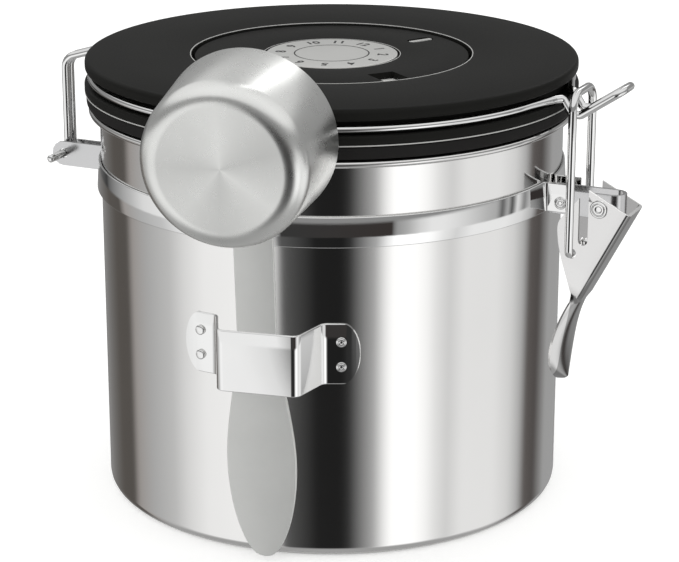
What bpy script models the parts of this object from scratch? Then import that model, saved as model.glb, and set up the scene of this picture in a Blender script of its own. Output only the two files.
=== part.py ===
"""Clip-top coffee canister with a date dial, a gas valve and a scoop on a holder.

Metres, +Z up. The origin is the centre of the flat base. The latch points to +X,
the lid hinge to -X, and the scoop hangs at the front, ten degrees round from -Y.
Turned profiles run clockwise in the (radius, height) plane, so their faces point out.
"""
import math

import bmesh
import bpy
from mathutils import Matrix, Vector

# Fits and small shared sizes
SEAT_GAP = 0.0003          # between pieces that touch
RUN_GAP = 0.0003           # round anything that turns or slides
OVERRUN = 0.002            # how far a cutter passes a surface
MERGE_DISTANCE = 0.00001
CORNER_REACH_SHARE = 0.49  # most of a side that one rounded corner may take
EDGE_STEPS = 2             # segments in a rounded edge
BEND_STEPS = 4             # segments in a bend of wire or sheet
HALF_TURN_STEPS = 8        # segments in a rounded end
ROUND_SEGMENTS = 64        # large turned pieces
CUP_SEGMENTS = 48
SMALL_SEGMENTS = 24        # the valve and the stem's clip
PIN_SEGMENTS = 12          # screws, rivets and their holes
VENT_SEGMENTS = 6

# Canister body
BODY_RADIUS = 0.0625
BODY_HEIGHT = 0.1069
WALL = 0.0008
BASE_CORNER = 0.003
RIM_WIDTH = 0.0029         # how far the rim stands out
RIM_THICKNESS = 0.0019
RIM_EDGE = 0.0007

# Clamp band
BAND_DROP = 0.0187         # its middle, down from the rim
BAND_HEIGHT = 0.0078
BAND_THICKNESS = 0.0006
BAND_EAR_LENGTH = 0.0074
LATCH_DROP = 0.0012        # the lever's pivot, down from the band's middle
HINGE_DROP = 0.0046        # the lid's pivot, down from the band's middle

# Lid stack, from the rim upwards; an overhang is measured from the rim's edge
GASKET_HEIGHT = 0.0035
GASKET_OVERHANG = 0.0005
GASKET_EDGE = 0.0013
LID_BASE_THICKNESS = 0.0024
LID_BASE_OVERHANG = 0.0009
LID_BASE_EDGE = 0.0006
GROOVE_SPACE = 0.0011      # above the wire in the lid's groove
COVER_OVERHANG = 0.0007
COVER_EDGE_HEIGHT = 0.0030
COVER_EDGE = 0.0012
COVER_TOP_THICKNESS = 0.0018
COVER_NECK_THICKNESS = 0.0018
WELL_WALL = 0.0014
WELL_FLOOR_THICKNESS = 0.0010
WELL_DEPTH = 0.0030

# Steel pan under the lid
PAN_CLEARANCE = 0.0023     # inside the mouth of the can
PAN_DEPTH = 0.0041
PAN_SHEET = 0.0007
PAN_CORNER = 0.0014
GASKET_CLEARANCE = 0.0008  # round the pan

# Date dial, day ring and month plate
DIAL_RADIUS = 0.0368
DIAL_INNER_RADIUS = 0.0182
DIAL_THICKNESS = 0.0016
DIAL_EDGE = 0.0004
DIAL_LIP_WIDTH = 0.0026
DIAL_LIP_THICKNESS = 0.0007
DIAL_SWEEP = 0.0008        # groove between the dial and the well
DIAL_TURN = math.radians(60)
WINDOW_TURN = math.radians(-37)
DAY_RING_THICKNESS = 0.0003
DAY_RING_WIDTH = 0.0128
SLOT_WIDTH = 0.0038
SLOT_EDGE = 0.0030         # from its outer end to the dial's edge
SLOT_LENGTH = 0.0080
SLOT_DEPTH = 0.0010
WINDOW_EDGE = 0.0012
WINDOW_LENGTH = 0.0090
WINDOW_WIDTH = 0.0075
MONTH_SWEEP = 0.0005       # groove between the month plate and the dial
MONTH_THICKNESS = 0.0007
MONTH_EDGE = 0.0002
STEM_RADIUS = 0.0030
STEM_FOOT_WIDTH = 0.0008
STEM_FOOT_HEIGHT = 0.0005
CLIP_WIDTH = 0.0026
CLIP_THICKNESS = 0.0006

# Lid screws
SCREW_COUNT = 4
SCREW_RADIUS = 0.0012
SCREW_HEAD_RADIUS = 0.0026
SCREW_HEAD_HEIGHT = 0.0011
SCREW_LENGTH = 0.0095
BOSS_WALL = 0.0018

# Gas valve in the middle of the lid
VALVE_BORE_RADIUS = 0.0078
VALVE_WALL = 0.0020
VALVE_FLANGE_WIDTH = 0.0034
VALVE_FLANGE_THICKNESS = 0.0012
VALVE_NECK_TOP_CLEARANCE = 0.0008
VALVE_SEAT_THICKNESS = 0.0008
VALVE_SEAT_RISE = 0.0022   # seat above the bottom of the flange
VALVE_HOLE_RADIUS = 0.0009
VALVE_HOLE_CIRCLE_RADIUS = 0.0045
VALVE_HOLE_COUNT = 6
VALVE_DISC_SWEEP = 0.0010  # between the disc and the bore
VALVE_DISC_THICKNESS = 0.0008
VALVE_STEM_RADIUS = 0.0010
VALVE_STEM_LENGTH = 0.0013
FILTER_THICKNESS = 0.0006
FILTER_HOLE_RADIUS = 0.0006
FILTER_HOLE_CIRCLE_RADIUS = 0.0040
FILTER_HOLE_COUNT = 8
FILTER_INSET = 0.0004

# Lid wire: hoop in the groove, tab at the latch and two legs at the hinge.
# The tab's reaches are measured out from the middle line of the hoop.
WIRE_RADIUS = 0.0011
WIRE_BEND = 0.0013
HOOP_INSET = 0.0017        # from the cover's edge
HOOP_END_ANGLE = math.radians(14)
HOOP_STEP = math.radians(6)
TAB_HALF_WIDTH = 0.0044
TAB_FLARE = 0.0018         # wider at its shoulders by this on each side
TAB_SHOULDER_REACH = 0.0014
TAB_NECK_REACH = 0.0029
TAB_CROOK_REACH = 0.0067
TAB_CROOK_LENGTH = 0.0024
TAB_CROOK_DROP = 0.0039
TAB_TIP_REACH = 0.0186
TAB_TIP_RISE = 0.0033
HINGE_REACH = 0.0202       # its axis, out from the can
LEG_HALF_SPACING = 0.0013
LEG_SHOULDER = 0.0040      # level part past the cover's edge
LEG_DROP = 0.0038          # from the hoop to the bend over the hinge
LEG_BEND = 0.0040
PIN_BEND = 0.0016
FRONT_PIN_LENGTH = 0.0102
REAR_PIN_LENGTH = 0.0044

# Hinge bracket and the keeper round its ears
EAR_THICKNESS = 0.0008
EAR_INNER_HALF_WIDTH = 0.0035
FRONT_EAR_HEIGHT = 0.0070
REAR_EAR_HEIGHT = 0.0046
HINGE_PLATE_RISE = 0.0030  # its top, up from the band's middle
KEEPER_LENGTH = 0.0018
KEEPER_WALL = 0.0010
KEEPER_REACH = 0.0042      # its near face, out from the band
KEEPER_SLACK = 0.0012      # above and below the ears
KEEPER_CORNER = 0.0014

# Latch strap on the band, with the lever's rivet
PIVOT_REACH = 0.0161       # the rivet, out from the can
STRAP_HEIGHT = 0.0066
STRAP_SHEET = 0.0008
STRAP_HALF_WIDTH = 0.0033
STRAP_END_REACH = 0.0054   # past the pivot
BAND_RIVET_REACH = 0.0042  # out from the band
BAND_RIVET_RADIUS = 0.0009
BAND_RIVET_HEAD_RADIUS = 0.0017
BAND_RIVET_HEAD_HEIGHT = 0.0005
PIVOT_RADIUS = 0.0013
PIVOT_HEAD_RADIUS = 0.0024
PIVOT_HEAD_HEIGHT = 0.0004
HEAD_FLAT_SHARE = 0.6      # flat part of a rivet's head, of its radius
HEAD_SIDE_SHARE = 0.4      # upright part of its side, of its height

# Lever: a bent sheet, from its top corner to the thumb, placed from the rivet
LEVER_SHEET = 0.0008
LEVER_SIDE_GAP = 0.0008    # between its walls and the band's ears
LEVER_TOP_OUT = 0.0079
LEVER_TOP_DROP = 0.0010
LEVER_NECK_IN = 0.0054
LEVER_NECK_DROP = 0.0265
LEVER_BEND = 0.0009
LEVER_DEPTH = 0.0170
LEVER_TAPER = 0.0004       # narrower at the neck by this on each side
THUMB_HALF_WIDTH = 0.0086
THUMB_LENGTH = 0.0225
THUMB_SWEEP = 0.0040       # how far the thumb's end leans to the can
THUMB_BOW = 0.0010
THUMB_RIM = 0.0020
NOTCH_WIDTH = 0.0026
NOTCH_IN = 0.0042
NOTCH_DROP = 0.0090

# Bail: wire loop hooked in the lever and over the tab
BAIL_OUTSET = 0.0002       # outside the middle of the tab's crook
BAIL_FOOT_DROP = 0.0128    # its feet, down from the rivet
BAIL_TOP_RISE = 0.0057     # its top, up from the crook
BAIL_SIDE_GAP = 0.00085
BAIL_TOP_BEND = 0.0045
BAIL_FOOT_BEND = 0.0016
BAIL_FOOT_LENGTH = 0.0005  # inside the lever's wall

# Scoop and its holder
HOLDER_ANGLE = math.radians(-79.8)
HOLDER_SHEET = 0.0008
HOLDER_CENTRE_Z = 0.0565
HOLDER_HEIGHT = 0.0162
HOLDER_HALF_WIDTH = 0.0106
HOLDER_STANDOFF = 0.0107   # its outer face, out from the can
HOLDER_FLARE = 0.0032      # wider at the can by this on each side
HOLDER_BEND = 0.0010
PAD_ANGLE = math.radians(21.3)
PAD_END_DEPTH = 0.0045
WELD_ANGLE = math.radians(16.9)
WELD_SPACING = 0.0066
WELD_RADIUS = 0.0013
WELD_HEIGHT = 0.0004
HANDLE_CLEARANCE = 0.0011  # behind the holder's front, at its middle height
SCOOP_LEAN = math.radians(5)   # its top away from the can
SCOOP_SHIFT = 0.0004       # off the holder's middle
HANDLE_THICKNESS = 0.0013
CUP_CENTRE_Z = 0.1157
CUP_RIM_RADIUS = 0.0220
CUP_BOTTOM_RADIUS = 0.0204
CUP_DEPTH = 0.0250
CUP_CORNER = 0.0045
CUP_WALL = 0.0008
HANDLE_TIP_Z = 0.0012
HANDLE_NECK_HALF_WIDTH = 0.0051
BLADE_SIDE_CLEARANCE = 0.0007
BLADE_HEIGHT_SHARE = 0.29  # height of the widest place, up from the tip
NECK_HEIGHT_SHARE = 0.69   # where the blade has narrowed to the neck
BLADE_FULLNESS = 0.44      # under 1, the tip is blunter than a sine

STEEL = (0.78, 0.78, 0.77, 1)
WIRE_STEEL = (0.82, 0.82, 0.82, 1)
BLACK_PLASTIC = (0.027, 0.027, 0.025, 1)
BLACK_RUBBER = (0.02, 0.02, 0.02, 1)
PALE_PRINT = (0.8, 0.8, 0.78, 1)
CLEAR_RUBBER = (0.55, 0.55, 0.53, 1)

# Radii and reaches worked out from the can
RIM_RADIUS = BODY_RADIUS + RIM_WIDTH
BAND_INNER = BODY_RADIUS + SEAT_GAP
BAND_OUTER = BAND_INNER + BAND_THICKNESS
BAND_EAR_INNER = STRAP_HALF_WIDTH + SEAT_GAP
BAND_EAR_OUTER = BAND_EAR_INNER + BAND_THICKNESS
PAN_RADIUS = BODY_RADIUS - WALL - PAN_CLEARANCE
COVER_RADIUS = RIM_RADIUS + COVER_OVERHANG
HOOP_RADIUS = COVER_RADIUS - HOOP_INSET
NECK_RADIUS = HOOP_RADIUS - WIRE_RADIUS - SEAT_GAP
WELL_RADIUS = DIAL_RADIUS + DIAL_SWEEP
WELL_OUTER = WELL_RADIUS + WELL_WALL
NECK_INNER = NECK_RADIUS - COVER_NECK_THICKNESS
SCREW_CIRCLE_RADIUS = (WELL_OUTER + NECK_INNER) / 2
TAB_CROOK_X = HOOP_RADIUS + TAB_CROOK_REACH
HINGE_X = -BODY_RADIUS - HINGE_REACH
PIVOT_X = BODY_RADIUS + PIVOT_REACH
BAND_RIVET_X = BAND_OUTER + BAND_RIVET_REACH
BAIL_X = TAB_CROOK_X + BAIL_OUTSET
LEVER_HALF_WIDTH = BAND_EAR_OUTER + LEVER_SIDE_GAP + LEVER_SHEET
HOLDER_FRONT = BODY_RADIUS + HOLDER_STANDOFF
SCOOP_PLANE = HOLDER_FRONT - HOLDER_SHEET - HANDLE_CLEARANCE - HANDLE_THICKNESS
VALVE_NECK_RADIUS = VALVE_BORE_RADIUS + VALVE_WALL
BASE_PLATE_FACE = BAND_OUTER + SEAT_GAP + EAR_THICKNESS

# Heights worked out from the stack
GASKET_Z = BODY_HEIGHT + SEAT_GAP
LID_BASE_Z = GASKET_Z + GASKET_HEIGHT + SEAT_GAP
LID_BASE_TOP = LID_BASE_Z + LID_BASE_THICKNESS
HOOP_Z = LID_BASE_TOP + SEAT_GAP + WIRE_RADIUS
COVER_EDGE_Z = HOOP_Z + WIRE_RADIUS + GROOVE_SPACE
COVER_TOP = COVER_EDGE_Z + COVER_EDGE_HEIGHT
WELL_FLOOR_TOP = COVER_TOP - WELL_DEPTH
DAY_RING_Z = WELL_FLOOR_TOP + SEAT_GAP
DIAL_Z = DAY_RING_Z + DAY_RING_THICKNESS + RUN_GAP
DIAL_TOP = DIAL_Z + DIAL_THICKNESS
MONTH_Z = DIAL_Z + DIAL_LIP_THICKNESS + RUN_GAP
STEM_BOTTOM = WELL_FLOOR_TOP - WELL_FLOOR_THICKNESS - SEAT_GAP * 2 - CLIP_THICKNESS - STEM_FOOT_HEIGHT
PAN_TOP = LID_BASE_Z - SEAT_GAP
PAN_BOTTOM = PAN_TOP - PAN_DEPTH
SCREW_TOP = PAN_BOTTOM - SEAT_GAP + SCREW_LENGTH
VALVE_BOTTOM = PAN_BOTTOM - SEAT_GAP - VALVE_FLANGE_THICKNESS
BAND_CENTRE_Z = BODY_HEIGHT - BAND_DROP
HINGE_Z = BAND_CENTRE_Z - HINGE_DROP
PIVOT_Z = BAND_CENTRE_Z - LATCH_DROP
TAB_CROOK_Z = HOOP_Z - TAB_CROOK_DROP
BAIL_FOOT_Z = PIVOT_Z - BAIL_FOOT_DROP
BAIL_TOP_Z = TAB_CROOK_Z + BAIL_TOP_RISE


def clear_scene():
    for old in list(bpy.data.objects):
        bpy.data.objects.remove(old)


def make_collection(name):
    collection = bpy.data.collections.new(name)
    bpy.context.scene.collection.children.link(collection)
    return collection


def make_material(name, colour, roughness, metallic):
    material = bpy.data.materials.new(name)
    material.use_nodes = True
    shader = material.node_tree.nodes["Principled BSDF"]
    shader.inputs["Base Color"].default_value = colour
    shader.inputs["Roughness"].default_value = roughness
    shader.inputs["Metallic"].default_value = metallic
    material.diffuse_color = colour
    return material


clear_scene()
PARTS = make_collection("coffee_canister")
CUTTERS = make_collection("cutters")
MATERIALS = {
    "brushed steel": make_material("brushed steel", STEEL, 0.28, 1.0),
    "wire": make_material("wire", WIRE_STEEL, 0.15, 1.0),
    "black plastic": make_material("black plastic", BLACK_PLASTIC, 0.45, 0.0),
    "rubber": make_material("rubber", BLACK_RUBBER, 0.6, 0.0),
    "print": make_material("print", PALE_PRINT, 0.5, 0.0),
    "silicone": make_material("silicone", CLEAR_RUBBER, 0.5, 0.0),
}


def add_part(name, mesh, material):
    part = bpy.data.objects.new(name, mesh)
    PARTS.objects.link(part)
    mesh.materials.clear()
    mesh.materials.append(MATERIALS[material])
    return part


def add_cutter(name, mesh, placed=Matrix.Identity(4)):
    cutter = bpy.data.objects.new(name, mesh)
    cutter.matrix_world = placed
    CUTTERS.objects.link(cutter)
    cutter.hide_render = True
    cutter.display_type = "WIRE"
    return cutter


def combine(part, other, operation):
    change = part.modifiers.new(other.name, "BOOLEAN")
    change.operation = operation
    change.object = other


def cut(part, cutter):
    combine(part, cutter, "DIFFERENCE")


def smooth(mesh):
    mesh.shade_smooth()
    mesh.set_sharp_from_angle(angle=math.radians(35))


def polar(radius, angle, height=0.0):
    return Vector((radius * math.cos(angle), radius * math.sin(angle), height))


def round_corner(before, here, after, size, steps):
    """The arc that takes a corner's place, from the side before it to the side after it."""
    back = before - here
    onward = after - here
    half = back.angle(onward) / 2
    reach = min(size / math.tan(half), min(back.length, onward.length) * CORNER_REACH_SHARE)
    size = reach * math.tan(half)
    middle = here + (back.normalized() + onward.normalized()).normalized() * (size / math.sin(half))
    start = here + back.normalized() * reach - middle
    end = here + onward.normalized() * reach - middle
    return [middle + start.lerp(end, step / steps).normalized() * size for step in range(steps + 1)]


def rounded(points, sizes, steps=EDGE_STEPS):
    """Round the corners of a closed outline; sizes maps a corner's index to its radius."""
    outline = [Vector(point) for point in points]
    result = []
    for index, here in enumerate(outline):
        if index in sizes:
            after = outline[(index + 1) % len(outline)]
            result += round_corner(outline[index - 1], here, after, sizes[index], steps)
        else:
            result.append(here)
    return result


def bent(points, sizes, steps=BEND_STEPS):
    """An open path with its inner corners rounded; sizes has one radius for each inner corner."""
    path = [Vector(point) for point in points]
    result = [path[0]]
    for index, size in enumerate(sizes, start=1):
        result += round_corner(path[index - 1], path[index], path[index + 1], size, steps)
    result.append(path[-1])
    return result


def arc(x, y, radius, start, end, steps=HALF_TURN_STEPS):
    """Points of an arc round (x, y); its start and end are in degrees."""
    angles = [math.radians(start + (end - start) * step / steps) for step in range(steps + 1)]
    return [Vector((x + radius * math.cos(angle), y + radius * math.sin(angle))) for angle in angles]


def profile_mesh(name, profile, closed):
    mesh = bpy.data.meshes.new(name)
    points = [(point[0], 0, point[1]) for point in profile]
    edges = [(index, index + 1) for index in range(len(points) - 1)]
    if closed:
        edges.append((len(points) - 1, 0))
    mesh.from_pydata(points, edges, [])
    return mesh


def spin_profile(piece, segments):
    turn = piece.modifiers.new("turn", "SCREW")
    turn.steps = segments
    turn.render_steps = segments
    turn.use_merge_vertices = True
    turn.merge_threshold = MERGE_DISTANCE
    return turn


def bake(piece):
    """Give the piece the mesh that its modifiers make, so that it can be cut cleanly."""
    depsgraph = bpy.context.evaluated_depsgraph_get()
    baked = bpy.data.meshes.new_from_object(piece.evaluated_get(depsgraph))
    piece.modifiers.clear()
    piece.data = baked
    smooth(baked)


def turned(name, profile, material, segments=ROUND_SEGMENTS, closed=True):
    part = add_part(name, profile_mesh(name, profile, closed), material)
    spin_profile(part, segments)
    bake(part)
    return part


def ring(inner, outer, bottom, top):
    """A ring's section, clockwise from its inner top corner."""
    return [(inner, top), (outer, top), (outer, bottom), (inner, bottom)]


def rod_mesh(name, radius, length, segments=PIN_SEGMENTS):
    shape = bmesh.new()
    bmesh.ops.create_cone(shape, cap_ends=True, segments=segments,
                          radius1=radius, radius2=radius, depth=length)
    mesh = bpy.data.meshes.new(name)
    shape.to_mesh(mesh)
    shape.free()
    return mesh


def box_mesh(name, low, high):
    shape = bmesh.new()
    bmesh.ops.create_cube(shape, size=1)
    for vertex in shape.verts:
        vertex.co = [high[axis] if vertex.co[axis] > 0 else low[axis] for axis in range(3)]
    mesh = bpy.data.meshes.new(name)
    shape.to_mesh(mesh)
    shape.free()
    return mesh


def along_y(x, z, y=0.0):
    return Matrix.Translation((x, y, z)) @ Matrix.Rotation(math.radians(90), 4, "X")


def along_x(x, z):
    return Matrix.Translation((x, 0, z)) @ Matrix.Rotation(math.radians(90), 4, "Y")


def slab_mesh(name, outline, thickness):
    """A flat closed outline in its own XY plane, made thick to both sides."""
    curve = bpy.data.curves.new(name, "CURVE")
    curve.dimensions = "2D"
    curve.fill_mode = "BOTH"
    curve.extrude = thickness / 2
    curve.render_resolution_u = 0
    spline = curve.splines.new("POLY")
    spline.points.add(len(outline) - 1)
    for point, place in zip(spline.points, outline):
        point.co = (place[0], place[1], 0, 1)
    spline.use_cyclic_u = True
    return mesh_of_curve(name, curve)


def mesh_of_curve(name, curve):
    carrier = bpy.data.objects.new(name, curve)
    bpy.context.scene.collection.objects.link(carrier)
    bpy.context.view_layer.update()
    depsgraph = bpy.context.evaluated_depsgraph_get()
    mesh = bpy.data.meshes.new_from_object(carrier.evaluated_get(depsgraph))
    bpy.data.objects.remove(carrier)
    shape = bmesh.new()
    shape.from_mesh(mesh)
    bmesh.ops.remove_doubles(shape, verts=shape.verts, dist=MERGE_DISTANCE)
    bmesh.ops.recalc_face_normals(shape, faces=shape.faces)
    shape.to_mesh(mesh)
    shape.free()
    return mesh


def loft_mesh(name, stations):
    """An open sheet through sections that have as many points each."""
    shape = bmesh.new()
    rows = [[shape.verts.new(point) for point in station] for station in stations]
    for upper, lower in zip(rows, rows[1:]):
        for index in range(len(upper) - 1):
            shape.faces.new((upper[index], lower[index], lower[index + 1], upper[index + 1]))
    bmesh.ops.recalc_face_normals(shape, faces=shape.faces)
    mesh = bpy.data.meshes.new(name)
    shape.to_mesh(mesh)
    shape.free()
    return mesh


def place(mesh, matrix):
    mesh.transform(matrix)
    return mesh


def slab_across(outline, centre_y, thickness, name):
    """An outline given in (x, z), made thick along Y."""
    return place(slab_mesh(name, outline, thickness), along_y(0, 0, centre_y))


def wire_mesh(name, points, radius):
    curve = bpy.data.curves.new(name, "CURVE")
    curve.dimensions = "3D"
    curve.bevel_depth = radius
    curve.bevel_resolution = 2
    curve.use_fill_caps = True
    curve.render_resolution_u = 0
    spline = curve.splines.new("POLY")
    spline.points.add(len(points) - 1)
    for point, place_of in zip(spline.points, points):
        point.co = (*place_of, 1)
    return mesh_of_curve(name, curve)


def strip_outline(path, thickness):
    """The closed outline of a bent strip seen edge on, from its middle line."""
    left = []
    right = []
    for index, point in enumerate(path):
        before = path[max(index - 1, 0)]
        after = path[min(index + 1, len(path) - 1)]
        into = (point - before).normalized() if index else (after - point).normalized()
        out = (after - point).normalized() if index < len(path) - 1 else into
        normal = Vector((-(into + out).y, (into + out).x)).normalized()
        stretch = 1 / max(normal.dot(Vector((-into.y, into.x))), 0.5)
        left.append(point + normal * (thickness / 2 * stretch))
        right.append(point - normal * (thickness / 2 * stretch))
    return left + right[::-1]


def hang_on(part, anchor):
    part.parent = anchor
    part.matrix_parent_inverse = Matrix.Translation(anchor.location).inverted()


def make_anchor(name, place_of):
    anchor = bpy.data.objects.new(name, None)
    anchor.location = place_of
    anchor.empty_display_size = BODY_RADIUS / 5
    PARTS.objects.link(anchor)
    return anchor


# The can and its band

def make_body():
    inner = BODY_RADIUS - WALL
    outline = [
        (0, WALL), (inner, WALL), (inner, BODY_HEIGHT), (RIM_RADIUS, BODY_HEIGHT),
        (RIM_RADIUS, BODY_HEIGHT - RIM_THICKNESS), (BODY_RADIUS, BODY_HEIGHT - RIM_THICKNESS),
        (BODY_RADIUS, 0), (0, 0),
    ]
    corners = {1: BASE_CORNER - WALL, 3: RIM_EDGE, 4: RIM_EDGE, 6: BASE_CORNER}
    return turned("canister_body", rounded(outline, corners), "brushed steel", closed=False)


def make_band():
    low = BAND_CENTRE_Z - BAND_HEIGHT / 2
    high = BAND_CENTRE_Z + BAND_HEIGHT / 2
    band = turned("clamp_band", ring(BAND_INNER, BAND_OUTER, low, high), "brushed steel")
    mouth = box_mesh("band_mouth", (0, -BAND_EAR_INNER, low - OVERRUN),
                     (BAND_OUTER + OVERRUN, BAND_EAR_INNER, high + OVERRUN))
    cut(band, add_cutter("band_mouth", mouth))
    ear_z = STRAP_HEIGHT / 2
    for side in (-1, 1):
        near = side * BAND_EAR_INNER
        far = side * BAND_EAR_OUTER
        ear = box_mesh("band_ear", (BAND_INNER, min(near, far), PIVOT_Z - ear_z),
                       (BAND_INNER + BAND_EAR_LENGTH, max(near, far), PIVOT_Z + ear_z))
        combine(band, add_cutter("band_ear", ear), "UNION")
        hole = rod_mesh("ear_hole", BAND_RIVET_RADIUS + RUN_GAP, BAND_THICKNESS + OVERRUN)
        cut(band, add_cutter("ear_hole", hole, along_y(BAND_RIVET_X, PIVOT_Z, (near + far) / 2)))
    hole = rod_mesh("rear_rivet_hole", BAND_RIVET_RADIUS + RUN_GAP, BAND_THICKNESS + OVERRUN)
    cut(band, add_cutter("rear_rivet_hole", hole, along_x((-BAND_INNER - BAND_OUTER) / 2, BAND_CENTRE_Z)))
    return band


def make_hinge_bracket():
    """A base plate on the band with two ears, the front one tall and the rear one low."""
    near = -BAND_OUTER - SEAT_GAP
    root = (near - BASE_PLATE_FACE) / 2
    outer = EAR_INNER_HALF_WIDTH + EAR_THICKNESS
    half = FRONT_EAR_HEIGHT / 2
    plate = box_mesh("hinge_bracket", (-BASE_PLATE_FACE, -outer, HINGE_Z - half),
                     (near, outer, BAND_CENTRE_Z + HINGE_PLATE_RISE))
    bracket = add_part("hinge_bracket", plate, "brushed steel")
    for side, height in ((-1, FRONT_EAR_HEIGHT), (1, REAR_EAR_HEIGHT)):
        radius = height / 2
        nose = arc(HINGE_X, HINGE_Z, radius, 90, 270)
        outline = [(root, HINGE_Z + radius)] + nose + [(root, HINGE_Z - radius)]
        middle = side * (EAR_INNER_HALF_WIDTH + EAR_THICKNESS / 2)
        ear = slab_across(outline, middle, EAR_THICKNESS, "hinge_ear")
        combine(bracket, add_cutter("hinge_ear", ear), "UNION")
        hole = rod_mesh("pin_hole", WIRE_RADIUS + RUN_GAP, EAR_THICKNESS + OVERRUN)
        cut(bracket, add_cutter("pin_hole", hole, along_y(HINGE_X, HINGE_Z, middle)))
    hole = rod_mesh("base_hole", BAND_RIVET_RADIUS + RUN_GAP, EAR_THICKNESS + OVERRUN)
    cut(bracket, add_cutter("base_hole", hole, along_x(root, BAND_CENTRE_Z)))
    return bracket


def make_hinge_keeper():
    """A flat oval ring that holds the two ears together beside the can."""
    half_y = EAR_INNER_HALF_WIDTH + EAR_THICKNESS + SEAT_GAP
    half_z = FRONT_EAR_HEIGHT / 2 + KEEPER_SLACK
    outlines = []
    for grow in (KEEPER_WALL, 0.0):
        y = half_y + grow
        z = half_z + grow
        square = [(-y, -z), (y, -z), (y, z), (-y, z)]
        outlines.append(rounded(square, {index: KEEPER_CORNER + grow for index in range(4)}))
    turn = Matrix.Translation((-BAND_OUTER - KEEPER_REACH - KEEPER_LENGTH / 2, 0, HINGE_Z))
    turn = turn @ Matrix(((0, 0, 1, 0), (1, 0, 0, 0), (0, 1, 0, 0), (0, 0, 0, 1)))
    outer = place(slab_mesh("hinge_keeper", outlines[0], KEEPER_LENGTH), turn)
    inner = place(slab_mesh("keeper_hole", outlines[1], KEEPER_LENGTH + OVERRUN), turn)
    keeper = add_part("hinge_keeper", outer, "brushed steel")
    cut(keeper, add_cutter("keeper_hole", inner))
    return keeper


def make_latch_strap():
    """A strip bent into a long U, its closed end pointing away from the can."""
    middle = STRAP_HALF_WIDTH - STRAP_SHEET / 2
    start = BAND_OUTER + SEAT_GAP
    end = PIVOT_X + STRAP_END_REACH - STRAP_SHEET / 2
    path = [Vector((start, -middle))] + arc(end - middle, 0, middle, -90, 90) + [Vector((start, middle))]
    outline = strip_outline(path, STRAP_SHEET)
    mesh = place(slab_mesh("latch_strap", outline, STRAP_HEIGHT), Matrix.Translation((0, 0, PIVOT_Z)))
    strap = add_part("latch_strap", mesh, "brushed steel")
    for name, x, radius in (("strap_pivot_hole", PIVOT_X, PIVOT_RADIUS),
                            ("strap_rivet_hole", BAND_RIVET_X, BAND_RIVET_RADIUS)):
        hole = rod_mesh(name, radius + RUN_GAP, STRAP_HALF_WIDTH * 2 + OVERRUN)
        cut(strap, add_cutter(name, hole, along_y(x, PIVOT_Z)))
    return strap


def head_profile(radius, height, face):
    """A rivet's domed head, from its top on the axis down to the face that it sits on."""
    return [(0, face + height), (radius * HEAD_FLAT_SHARE, face + height),
            (radius, face + height * HEAD_SIDE_SHARE), (radius, face)]


def turned_mesh(name, profile, segments, matrix):
    """A small turned shape, open at its axis, as a mesh put in its place."""
    carrier = bpy.data.objects.new(name, profile_mesh(name, profile, False))
    bpy.context.scene.collection.objects.link(carrier)
    spin_profile(carrier, segments)
    bpy.context.view_layer.update()
    depsgraph = bpy.context.evaluated_depsgraph_get()
    mesh = bpy.data.meshes.new_from_object(carrier.evaluated_get(depsgraph))
    bpy.data.objects.remove(carrier)
    return place(mesh, matrix)


def small_part(name, mesh, material):
    mesh.name = name
    smooth(mesh)
    return add_part(name, mesh, material)


def make_band_rivets():
    """Headed pins through the band's ears and the strap, flattened inside the strap."""
    inner_face = STRAP_HALF_WIDTH - STRAP_SHEET - SEAT_GAP
    inner_end = inner_face - BAND_RIVET_HEAD_HEIGHT
    head = head_profile(BAND_RIVET_HEAD_RADIUS, BAND_RIVET_HEAD_HEIGHT, BAND_EAR_OUTER + SEAT_GAP)
    profile = head + [
        (BAND_RIVET_RADIUS, BAND_EAR_OUTER + SEAT_GAP), (BAND_RIVET_RADIUS, inner_face),
        (BAND_RIVET_HEAD_RADIUS, inner_face), (BAND_RIVET_HEAD_RADIUS, inner_end), (0, inner_end),
    ]
    for degrees, name in ((90, "band_rivet_front"), (-90, "band_rivet_rear")):
        turn = Matrix.Translation((BAND_RIVET_X, 0, PIVOT_Z)) @ Matrix.Rotation(math.radians(degrees), 4, "X")
        small_part(name, turned_mesh(name, profile, PIN_SEGMENTS, turn), "wire")


def make_hinge_rivet():
    head = head_profile(BAND_RIVET_HEAD_RADIUS, BAND_RIVET_HEAD_HEIGHT, BASE_PLATE_FACE + SEAT_GAP)
    profile = head + [
        (BAND_RIVET_RADIUS, BASE_PLATE_FACE + SEAT_GAP), (BAND_RIVET_RADIUS, BAND_INNER), (0, BAND_INNER),
    ]
    turn = Matrix.Translation((0, 0, BAND_CENTRE_Z)) @ Matrix.Rotation(math.radians(-90), 4, "Y")
    return small_part("hinge_rivet", turned_mesh("hinge_rivet", profile, PIN_SEGMENTS, turn), "wire")


def make_lever_rivet():
    face = LEVER_HALF_WIDTH + SEAT_GAP
    upper = head_profile(PIVOT_HEAD_RADIUS, PIVOT_HEAD_HEIGHT, face)
    lower = [(radius, -along) for radius, along in reversed(upper)]
    profile = upper + [(PIVOT_RADIUS, face), (PIVOT_RADIUS, -face)] + lower
    mesh = turned_mesh("lever_rivet", profile, PIN_SEGMENTS, along_y(PIVOT_X, PIVOT_Z))
    return small_part("lever_rivet", mesh, "wire")


# The lever and the bail

def wall_section(half_width, depth):
    """Half of a U section as (y, reach): down a side wall from its edge, then half of the back."""
    wall_shares = (1.0, 0.66, 0.33, 0.0)
    bend_share = 0.3
    points = [(-half_width, LEVER_BEND + (depth - LEVER_BEND) * share) for share in wall_shares]
    points.append((-half_width + LEVER_BEND * bend_share, LEVER_BEND * bend_share))
    points.append((-half_width + LEVER_BEND, 0))
    return points


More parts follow.
